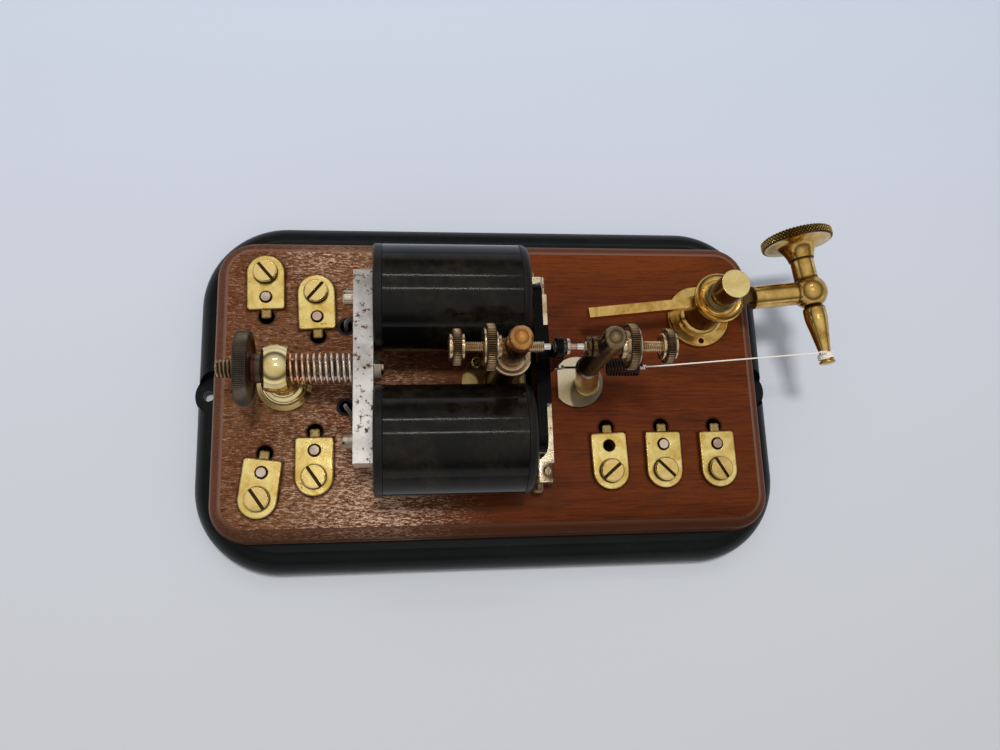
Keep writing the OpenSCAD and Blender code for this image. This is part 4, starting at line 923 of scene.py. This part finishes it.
def crown(left: float, right: float, radius: float, drop: float) -> list[Pair]:
    """Profile of a rim whose edges are rounded off.

    Args:
        left: place of one edge.
        right: place of the other edge.
        radius: radius at its middle.
        drop: how much less the radius is at its edges.

    Returns:
        The points as place and radius.
    """
    return [(left + (right - left) * i / 12, radius - drop * abs(i / 6 - 1) ** 5)
            for i in range(13)]


def knurl(bm: Shape, low: float, high: float, radius: float, depth: float, teeth: int,
          pattern: Knurl) -> None:
    """Cuts a knurl into the rim of a piece turned about X.

    Args:
        bm: the turned piece, its axis through the origin.
        low: place of the rim's start along X.
        high: place of its end.
        radius: least radius of the vertices that move.
        depth: depth of the cut.
        teeth: number of teeth round the rim.
        pattern: straight or diamond.
    """
    for vert in bm.verts:
        x, y, z = vert.co
        reach = math.hypot(y, z)
        if low - 1e-4 <= x <= high + 1e-4 and reach > radius:
            turn = teeth * math.atan2(z, y)
            slant = 0.0 if pattern is Knurl.STRAIGHT else (x - low) * teeth / reach
            wave = 0.5 - 0.5 * min(math.cos(turn + slant), math.cos(turn - slant))
            factor = (reach - depth * wave) / reach
            vert.co = (x, y * factor, z * factor)


def cut_flat(bm: Shape, point: Vector, normal: Vector) -> None:
    """Cuts off what lies beyond a plane and closes the cut.

    Args:
        bm: the mesh.
        point: a point on the plane.
        normal: direction of the side that goes.
    """
    geom = bm.verts[:] + bm.edges[:] + bm.faces[:]
    cut = bmesh.ops.bisect_plane(bm, geom=geom, dist=1e-5, plane_co=point, plane_no=normal,
                                 clear_outer=True)
    rim = [e for e in cut["geom_cut"] if isinstance(e, bmesh.types.BMEdge)]
    bmesh.ops.holes_fill(bm, edges=rim, sides=0)


def thread(low: float, high: float, radius: float, depth: float, pitch: float,
           steps: int) -> Shape:
    """A screw thread about X with rounded crests, closed at both ends.

    Args:
        low: place of one end.
        high: place of the other end.
        radius: outer radius.
        depth: depth of the thread.
        pitch: advance per turn.
        steps: steps per turn.

    Returns:
        The new bmesh, its axis through the origin.
    """
    turns = math.ceil((high - low) / pitch) + 2
    start = low - pitch
    crest = 0.12 * pitch
    row = ((0.0, radius - depth), (0.5 * pitch - crest, radius - 0.1 * depth),
           (0.5 * pitch, radius), (0.5 * pitch + crest, radius - 0.1 * depth),
           (pitch, radius - depth))
    bm = bmesh.new()
    verts = [bm.verts.new((start + along, 0.0, reach)) for along, reach in row]
    edges = [bm.edges.new(pair) for pair in zip(verts, verts[1:])]
    bmesh.ops.spin(bm, geom=verts + edges, cent=ORIGIN, axis=ALONG_X,
                   dvec=(pitch / steps, 0.0, 0.0), angle=TAU * turns, steps=steps * turns,
                   use_merge=False, use_duplicate=False)
    bmesh.ops.remove_doubles(bm, verts=bm.verts, dist=1e-3)
    cut_flat(bm, Vector((low, 0.0, 0.0)), -Vector(ALONG_X))
    cut_flat(bm, Vector((high, 0.0, 0.0)), Vector(ALONG_X))
    return bm


def tube(path: Sequence[Vector], radius: float, sides: int) -> Shape:
    """Draws a round wire along a path and closes its ends.

    Args:
        path: its points.
        radius: radius of the wire.
        sides: number of sides.

    Returns:
        The new bmesh.
    """
    last = len(path) - 1
    heads = [(path[min(i + 1, last)] - path[max(i - 1, 0)]).normalized() for i in range(last + 1)]
    bm = bmesh.new()
    turn = Vector(UP).rotation_difference(heads[0]).to_matrix().to_4x4()
    bmesh.ops.create_circle(bm, cap_ends=True, segments=sides, radius=radius,
                            matrix=Matrix.Translation(path[0]) @ turn)
    ring = bm.edges[:]
    for here, there, head, next_head in zip(path, path[1:], heads, heads[1:]):
        grown = bmesh.ops.extrude_edge_only(bm, edges=ring)["geom"]
        verts = [g for g in grown if isinstance(g, bmesh.types.BMVert)]
        ring = [g for g in grown if isinstance(g, bmesh.types.BMEdge)]
        swing = head.rotation_difference(next_head).to_matrix().to_4x4()
        bmesh.ops.transform(bm, verts=verts, matrix=Matrix.Translation(there) @ swing
                            @ Matrix.Translation(-here))
    bmesh.ops.edgeloop_fill(bm, edges=ring)
    return bm


def helix(x0: float, x1: float, radius: float, turns: float, steps: int) -> list[Vector]:
    """Points of a helix about X.

    Args:
        x0: start along X.
        x1: end along X.
        radius: radius.
        turns: number of turns.
        steps: points per turn.

    Returns:
        The points.
    """
    total = round(turns * steps)
    return [Vector((x0 + (x1 - x0) * i / total, radius * math.cos(TAU * i / steps),
                    radius * math.sin(TAU * i / steps))) for i in range(total + 1)]


@dataclass
class Base:
    """Iron casting, mahogany board and what closes the hollow between them."""

    shop: Workshop

    def build(self) -> None:
        """Dresses the base."""
        screws = ("cover_screws", "board_screws", "post_nuts", "rail_screws", "frame_screws",
                  "foot_screws")
        self.shop.dress(
            Piece("base_casting", "base", "japanned_iron", 0.25),
            Piece("base_cover", "base", "cover_plate", 0.2),
            Piece("baseboard", "base", "mahogany", 0.15),
            *(Piece(node, "base", "polished_brass", 0.08) for node in screws),
            Piece("lead_bushes", "base", "ebonite", 0.1),
            Piece("wiring", "base", "cotton"))


@dataclass
class Terminals:
    """Brass plates, their pins and their slotted screws."""

    shop: Workshop

    def build(self) -> None:
        """Dresses the terminals."""
        screws = [f"terminal_screw_{i + 1}" for i in range(len(TERMINALS))]
        self.shop.dress(
            Piece("terminal_plates", "base", "plate_brass", 0.55, clamp=False),
            Piece("terminal_pins", "base", "pin_brass", 0.2),
            *(Piece(screw, screw, "slotted_brass", 0.14) for screw in screws))


@dataclass
class Magnet:
    """Two coils on their cores and yoke, and the saddles that carry them on the rails."""

    shop: Workshop

    def build(self) -> None:
        """Dresses the magnet."""
        dress = self.shop.dress
        dress(Piece("yoke", "magnet", "yoke_iron", 0.35),
              Piece("cores", "magnet", "yoke_iron", 0.2),
              Piece("yoke_fasteners", "magnet", "core_screw_metal", 0.2))
        for side in ("rear", "front"):
            dress(Piece(f"bobbin_{side}", "magnet", "ebonite", 0.1),
                  Piece(f"winding_{side}", "magnet", "copper"),
                  Piece(f"coil_cover_{side}", "magnet", "coil_rubber", 0.15))
        dress(Piece("magnet_saddles", "magnet", "polished_brass", 0.1),
              Piece("runner_rails", "base", "polished_brass", 0.15),
              Piece("coil_leads", "base", "cotton",
                    bend=Bend("magnet", (-56.3, 0, 27.0), (-46.0, 0, 38.0))))


@dataclass
class MagnetAdjuster:
    """Ball post, threaded rod, knurled wheel and compression spring."""

    shop: Workshop
    rod_r: float = 3.2
    rod_pitch: float = 1.27
    rod_depth: float = 0.45
    rod_left: float = -98.0
    shank_r: float = 2.3
    shank: Pair = (-52.2, -42.0)
    wheel_r: float = 12.9
    teeth: int = 110
    knurl_depth: float = 0.32
    rim: Pair = (-90.8, -86.4)
    hub_end: float = -82.7
    hub_r: float = 4.9
    spring: Pair = (-73.45, -52.85)
    spring_r: float = 4.85
    spring_turns: float = 10.5
    spring_wire: float = 0.5

    def build(self) -> None:
        """Builds the adjuster."""
        self.shop.dress(Piece("ball_post", "base", "ball_metal", 0.2, 40.0))
        self._rod()
        self._wheel()
        self._spring()

    def _rod(self) -> None:
        """Threaded rod with a plain shank in the yoke."""
        left, right = self.shank
        screw = thread(self.rod_left, left, self.rod_r, self.rod_depth, self.rod_pitch, 32)
        shank = lathe(((left, 0.0), (left, self.shank_r), (right, self.shank_r), (right, 0.0)),
                      48)
        self.shop.add(Piece("adjusting_rod", "magnet", "rod_bronze", smooth=50.0),
                      place(join(screw, shank), moved(0, 0, AXIS_Z)), Making.THREADED)

    def _wheel(self) -> None:
        """Knurled wheel with a rounded rim."""
        left, right = self.rim
        bore = self.rod_r + PLAY
        profile = [(left + 0.5, bore), (left + 0.3, 5.4), (left + 0.9, 6.2), (left + 0.9, 9.6),
                   (left, 10.4), *crown(left, right, self.wheel_r, 0.30), (right, 11.6),
                   (right - 0.7, 10.9), (right - 0.7, 6.4), (right + 0.2, 5.6),
                   (right + 0.5, 5.2), (self.hub_end - 0.3, self.hub_r),
                   (self.hub_end, self.hub_r - 0.3), (self.hub_end, bore), (left + 0.5, bore)]
        bm = lathe(profile, 4 * self.teeth)
        knurl(bm, left, right, 11.9, self.knurl_depth, self.teeth, Knurl.STRAIGHT)
        self.shop.add(Piece("adjusting_wheel", "wheel", "wheel_bronze", smooth=30.0),
                      place(bm, moved(0, 0, AXIS_Z)), Making.KNURLED)

    def _spring(self) -> None:
        """Compression spring of round wire."""
        left, right = self.spring
        wire = tube(helix(left, right, self.spring_r, self.spring_turns, 28), self.spring_wire,
                    12)
        bend = Bend("magnet", (left, 0, AXIS_Z), (right, 0, AXIS_Z))
        self.shop.add(
            Piece("magnet_spring", "base", "magnet_spring_wire", smooth=60.0, bend=bend),
            place(wire, moved(0, 0, AXIS_Z)), Making.WOUND)


@dataclass
class ContactScrew:
    """A contact screw with a flanged, knurled head, its lock nut and its tip."""

    shop: Workshop
    side: str
    facing: float
    knob_x: float
    nut_x: float
    tip_x: float
    pitch: float = 0.66
    radius: float = 1.8
    depth: float = 0.24
    neck: float = 4.9
    tip_length: float = 2.35
    knob_r: float = 5.9
    knob_teeth: int = 56
    nut_r: float = 7.6
    nut_teeth: int = 64

    def _to_place(self, bm: Shape, x: float) -> Shape:
        """Turns a piece drawn facing -X to this screw's side and puts it at x."""
        turn = Matrix.Identity(4) if self.facing < 0 else Matrix.Rotation(math.pi, 4, "Z")
        return place(bm, moved(x, 0, CONTACT_Z) @ turn)

    def build(self) -> None:
        """Builds the screw, the nut and the tip."""
        r = self.knob_r
        knob = lathe([(0.0, 0.0), (0.0, r - 1.8), (0.2, r - 1.5), (0.75, r - 1.5), (0.9, r - 2.0),
                      (1.05, r - 2.0), (1.1, r - 0.5), (1.4, r - 0.1), (2.0, r), (3.0, r),
                      (3.6, r - 0.1), (3.9, r - 0.5), (3.95, r - 2.0), (4.1, r - 2.0),
                      (4.25, r - 1.5), (4.8, r - 1.5), (5.0, r - 1.8), (5.0, 1.5)],
                     4 * self.knob_teeth)
        knurl(knob, 1.1, 3.9, r - 0.6, 0.38, self.knob_teeth, Knurl.STRAIGHT)
        end = abs(self.tip_x - self.knob_x) - self.tip_length
        screw = thread(self.neck, end, self.radius, self.depth, self.pitch, 24)
        side = self.side
        self.shop.add(Piece(f"{side}_contact_screw", f"{side}_screw", "screw_bronze", smooth=35.0),
                      self._to_place(join(knob, screw), self.knob_x), Making.KNURLED)
        n, bore = self.nut_r, self.radius + PLAY
        nut = lathe([(-5.8, bore), (-5.8, n - 1.7), (-5.6, n - 1.4), (-5.1, n - 1.4),
                     (-4.95, n - 0.5), (-4.6, n - 0.1), (-3.9, n), (-2.9, n), (-2.2, n - 0.1),
                     (-1.85, n - 0.5), (-1.8, n - 2.4), (-1.2, n - 2.4), (-1.15, 4.1), (0.0, 3.9),
                     (0.0, bore), (-5.8, bore)], 4 * self.nut_teeth)
        knurl(nut, -4.9, -1.9, n - 0.7, 0.4, self.nut_teeth, Knurl.STRAIGHT)
        self.shop.add(Piece(f"{side}_lock_nut", f"{side}_nut", "nut_bronze", smooth=35.0),
                      self._to_place(nut, self.nut_x), Making.KNURLED)
        self.shop.dress(Piece(f"{side}_contact_tip", f"{side}_tip", "contact_silver", 0.08))


@dataclass
class Contacts:
    """The two contact posts and their screws."""

    shop: Workshop

    def build(self) -> None:
        """Builds the posts and screws."""
        self.shop.dress(Piece("left_contact_post", "base", "left_post_metal", 0.15, 40.0),
                        Piece("right_contact_post", "base", "right_post_metal", 0.15, 40.0))
        ContactScrew(self.shop, "left", -1.0, -21.3, -4.7, 11.4).build()
        ContactScrew(self.shop, "right", 1.0, 52.6, 34.4, 19.86).build()


@dataclass
class Armature:
    """Rocking armature, its lever and the frame that carries its pivots."""

    shop: Workshop

    def build(self) -> None:
        """Dresses the armature."""
        self.shop.dress(
            Piece("armature_bar", "armature", "black_iron", 0.45),
            Piece("armature_arbor", "armature", "bright_steel", 0.1),
            Piece("armature_rivets", "armature", "black_iron", 0.2),
            Piece("lever", "armature", "black_iron", 0.2),
            Piece("contact_barrel", "armature", "dark_steel", 0.12),
            Piece("spring_hook", "armature", "bright_steel", 0.15),
            Piece("armature_frame", "base", "frame_nickel", 0.25),
            Piece("pivot_screws", "base", "rod_bronze", 0.15),
            Piece("pivot_clamp_screws", "base", "rod_bronze", 0.1))


@dataclass
class TensionAdjuster:
    """Post, sliding rod, spindle and clamp screw that stretch the tension spring."""

    shop: Workshop
    knob: Pair = (19.6, 22.8)
    knob_r: float = 13.5
    knob_teeth: int = 62
    knob_depth: float = 0.62
    waist_r: float = 2.1

    def spindle_frame(self) -> Matrix:
        """Matrix whose X runs from the ball to the spindle's knob.

        Returns:
            The matrix.
        """
        turn = Matrix.Rotation(math.radians(ROD_YAW), 4, "Z")
        swing = Matrix.Rotation(math.radians(90.0 + SPINDLE_SKEW), 4, "Z")
        return moved(*TENSION_AT) @ turn @ moved(SPINDLE_REACH, 0, 0) @ swing

    def build(self) -> None:
        """Builds the adjuster."""
        self.shop.dress(
            Piece("tension_post", "base", "golden_brass", 0.15, 40.0),
            Piece("tension_post_screws", "base", "polished_brass", 0.1),
            Piece("clamp_screw", "clamp", "cap_brass", 0.3, 40.0),
            Piece("tension_rod", "tension_rod", "golden_brass", 0.25, 40.0))
        self._spindle()

    def _spindle(self) -> None:
        """Spindle with a diamond-knurled knob and a cone."""
        left, right = self.knob
        waist = self.waist_r
        profile = [(-28.5, 0.0), (-28.5, 2.0), (-28.35, 2.6), (-28.0, 2.95), (-27.5, 2.95),
                   (-27.2, 2.6), (-27.0, waist), (-24.0, waist), (-23.2, 2.3), (-15.05, 3.5),
                   (-12.8, 3.9), (-10.55, 4.2), (-7.05, 4.2), (-6.4, 4.0), (-6.05, 3.6),
                   (-6.05, 2.5), (12.9, 2.5), (12.9, 4.5), (13.1, 4.8), (14.2, 5.0), (15.4, 5.4),
                   (16.6, 6.0), (17.6, 6.8), (18.4, 7.8), (19.0, 9.0), (19.3, 10.0), (19.5, 11.0),
                   (left, 11.9), (19.5, 12.5), *crown(left, right, self.knob_r, 0.22),
                   (right, 12.3), (22.4, 11.7), (22.4, 4.0), (22.7, 3.4), (22.7, 0.0)]
        bm = lathe(profile, 8 * self.knob_teeth)
        knurl(bm, left, right, self.knob_r - 0.6, self.knob_depth, self.knob_teeth,
              Knurl.DIAMOND)
        self.shop.add(Piece("tension_spindle", "spindle", "spindle_brass", smooth=35.0),
                      place(bm, self.spindle_frame()), Making.KNURLED)


@dataclass
class TensionLine:
    """Tension spring of the armature and the silk thread that pulls it."""

    shop: Workshop
    adjuster: TensionAdjuster
    coil: Pair = (36.6, 48.4)
    coil_r: float = 2.85
    turns: float = 11.0
    wire: float = 0.42
    ease: float = 1.6
    hook_x: float = 21.3
    knot_x: float = 50.8
    silk_r: float = 0.25
    bunch: Pair = (-26.6, -24.6)
    bunch_turns: int = 7
    bunch_layer: float = 0.22
    knot: Pair = (3.6, 0.8)
    knot_turns: int = 4
    knot_r: float = 0.5
    hitch: Pair = (0.3, -1.7)
    hitch_turns: int = 3
    hitch_r: float = 0.62

    def build(self) -> None:
        """Builds the spring and the thread."""
        self._spring()
        self._thread()

    def _spring(self) -> None:
        """Close-wound spring with its long wire through the right post."""
        x0, x1 = self.coil
        r, ease = self.coil_r, self.ease
        lead = [Vector((x, 0, 0)) for x in (self.hook_x + 0.15, 29.8, x0 - ease)]
        entry = [Vector((x0 - ease + ease * t, r * t * math.cos((t - 1) * 1.57),
                         r * t * math.sin((t - 1) * 1.57))) for t in (0.25, 0.5, 0.75)]
        end = [Vector((x1 + ease * t, r * (1 - t) * math.cos(t * 1.57),
                       r * (1 - t) * math.sin(t * 1.57))) for t in (0.25, 0.5, 0.75)]
        tail = [Vector((x, 0, 0)) for x in (x1 + ease, self.knot_x - 0.2)]
        wire = tube(lead + entry + helix(x0, x1, r, self.turns, 24) + end + tail, self.wire, 8)
        bend = Bend("tension_rod", (x0, 0, SPRING_Z), (self.knot_x, 0, SPRING_Z))
        self.shop.add(Piece("tension_spring", "base", "blued_wire", smooth=60.0, bend=bend),
                      place(wire, moved(0, 0, SPRING_Z)), Making.WOUND)

    def _bunch(self) -> list[Vector]:
        """Turns on the spindle, which lie beside and over each other.

        Returns:
            The points of the thread in them.
        """
        frame = self.adjuster.spindle_frame()
        total = 28 * self.bunch_turns
        left, right = self.bunch
        points = []
        for i in range(total + 1):
            a = math.pi / 2 + TAU * i / 28
            r = (self.adjuster.waist_r + self.silk_r + 0.1
                 + self.bunch_layer * (1.0 - math.cos(5.0 * math.pi * i / total)))
            points.append(frame @ Vector((left + (right - left) * i / total, -r * math.cos(a),
                                          r * math.sin(a))))
        return points

    def _thread(self) -> None:
        """Silk thread from its turns on the spindle to its hitch on the spring."""
        points = self._bunch()
        leave = points[-1]
        hitch = Vector((self.knot_x, 0, SPRING_Z))
        line = (hitch - leave).normalized()
        side = line.cross(Vector(UP)).normalized()
        up = side.cross(line)
        points += [leave + 1.1 * step * line for step in (1, 2, 3)]
        far, near = self.knot
        total = 14 * self.knot_turns
        for i in range(total + 1):
            a = TAU * i / 14
            points.append(leave + (far + (near - far) * i / total) * line
                          + self.knot_r * (math.cos(a) * side + math.sin(a) * up))
        points += [leave.lerp(hitch, i / 12) for i in range(1, 12)]
        start, end = self.hitch
        total = 14 * self.hitch_turns
        for i in range(total + 1):
            a = TAU * i / 14
            points.append(hitch + Vector((start + (end - start) * i / total,
                                          self.hitch_r * math.sin(a),
                                          self.hitch_r * math.cos(a))))
        self.shop.add(Piece("silk_thread", "tension_rod", "silk", smooth=60.0),
                      tube(points, self.silk_r, 10), Making.WOUND)


@dataclass(frozen=True)
class Lamp:
    """A rectangular lamp, its places and size in metres."""

    name: str
    where: Triple
    target: Triple
    size: Pair
    watts: float
    colour: Colour
    reflected: bool = True

    def build(self) -> None:
        """Adds the lamp."""
        data = bpy.data.lights.new(self.name, "AREA")
        data.shape = "RECTANGLE"
        data.size, data.size_y = self.size
        data.energy = self.watts
        data.color = self.colour
        lamp = bpy.data.objects.new(self.name, data)
        lamp.location = self.where
        facing = Vector(self.target) - Vector(self.where)
        lamp.rotation_euler = facing.to_track_quat("-Z", "Y").to_euler()
        lamp.visible_glossy = self.reflected
        bpy.context.scene.collection.objects.link(lamp)


@dataclass
class Studio:
    """Pale floor, soft lamps and the camera at the photograph's viewing angle, in metres."""

    eye: Triple = (-0.0386, -0.0695, 0.3420)
    right: Triple = (0.9924, -0.0334, 0.1182)
    down: Triple = (-0.0060, -0.9745, -0.2245)
    ahead: Triple = (0.1227, 0.2221, -0.9673)
    focal_px: float = 860.0
    width_px: float = 1000.0
    sensor: float = 36.0
    sky: Stops = ((0.0, (0.92, 0.94, 1.0)), (0.22, (0.84, 0.85, 0.89)),
                  (0.38, (0.13, 0.125, 0.12)), (0.52, (0.17, 0.165, 0.16)),
                  (0.70, (0.60, 0.59, 0.57)), (0.92, (0.84, 0.83, 0.80)),
                  (1.0, (0.88, 0.87, 0.84)))
    sky_strength: float = 0.85
    lamps: tuple[Lamp, ...] = (
        Lamp("overhead", (-0.05, 0.085, 1.10), (-0.05, 0.0, 0.03), (0.16, 0.12), 6.0,
             (1.0, 0.975, 0.94), reflected=False),
        Lamp("near_tube", (0.04, 0.075, 1.12), (0.04, 0.0, 0.03), (0.24, 0.014), 0.30,
             (1.0, 0.98, 0.95)),
        Lamp("far_tube", (-0.04, 0.66, 1.10), (-0.04, 0.02, 0.05), (0.36, 0.02), 0.55,
             (0.97, 0.98, 1.0)))
    floor_half: float = 3.0
    floor_z: float = -0.0002

    def build(self) -> None:
        """Builds the studio."""
        self._floor()
        self._world()
        for lamp in self.lamps:
            lamp.build()
        self._camera()

    def _floor(self) -> None:
        """Plain pale floor under the feet of the base."""
        bm = bmesh.new()
        bmesh.ops.create_grid(bm, x_segments=1, y_segments=1, size=self.floor_half)
        mesh = bpy.data.meshes.new("floor")
        bm.to_mesh(mesh)
        bm.free()
        floor = bpy.data.objects.new("floor", mesh)
        floor.location.z = self.floor_z
        bpy.context.scene.collection.objects.link(floor)
        g = Graph("floor_paint")
        paint = g.mix(g.axis("Y", -260.0, 200.0), (0.575, 0.575, 0.58), (0.60, 0.665, 0.80))
        g.set(Base_Color=paint, Roughness=0.85, Specular_IOR_Level=0.2)
        mesh.materials.append(g.material)

    def _world(self) -> None:
        """Surroundings that are pale at the horizon and dim overhead."""
        world = bpy.data.worlds.new("surroundings")
        world.use_nodes = True
        tree = world.node_tree
        shade = tree.nodes["Background"]
        split = tree.nodes.new("ShaderNodeSeparateXYZ")
        ramp = tree.nodes.new("ShaderNodeValToRGB")
        tree.links.new(tree.nodes.new("ShaderNodeTexCoord").outputs["Generated"], split.inputs[0])
        tree.links.new(split.outputs["Z"], ramp.inputs["Fac"])
        tree.links.new(ramp.outputs["Color"], shade.inputs["Color"])
        fill_ramp(ramp, self.sky)
        shade.inputs["Strength"].default_value = self.sky_strength
        bpy.context.scene.world = world

    def _camera(self) -> None:
        """Camera fitted to the photograph."""
        data = bpy.data.cameras.new("camera")
        data.lens = self.focal_px / self.width_px * self.sensor
        data.sensor_width = self.sensor
        data.clip_start = 0.01
        camera = bpy.data.objects.new("camera", data)
        rows = (self.right, [-v for v in self.down], [-v for v in self.ahead])
        camera.matrix_world = moved(*self.eye) @ Matrix(rows).transposed().to_4x4()
        bpy.context.scene.collection.objects.link(camera)
        bpy.context.scene.camera = camera


def main() -> None:
    """Builds the relay and its studio."""
    logging.basicConfig(level=logging.INFO, format="%(name)s: %(message)s")
    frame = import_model()
    shop = Workshop(frame, Finishes())
    adjuster = TensionAdjuster(shop)
    for part in (Base(shop), Terminals(shop), Magnet(shop), MagnetAdjuster(shop), Contacts(shop),
                 Armature(shop), adjuster, TensionLine(shop, adjuster)):
        part.build()
        LOG.info("%s done", type(part).__name__)
    Studio().build()
    bpy.context.scene.view_settings.view_transform = "Standard"
    LOG.info("%d pieces", shop.count)


if __name__ == "__main__":
    main()
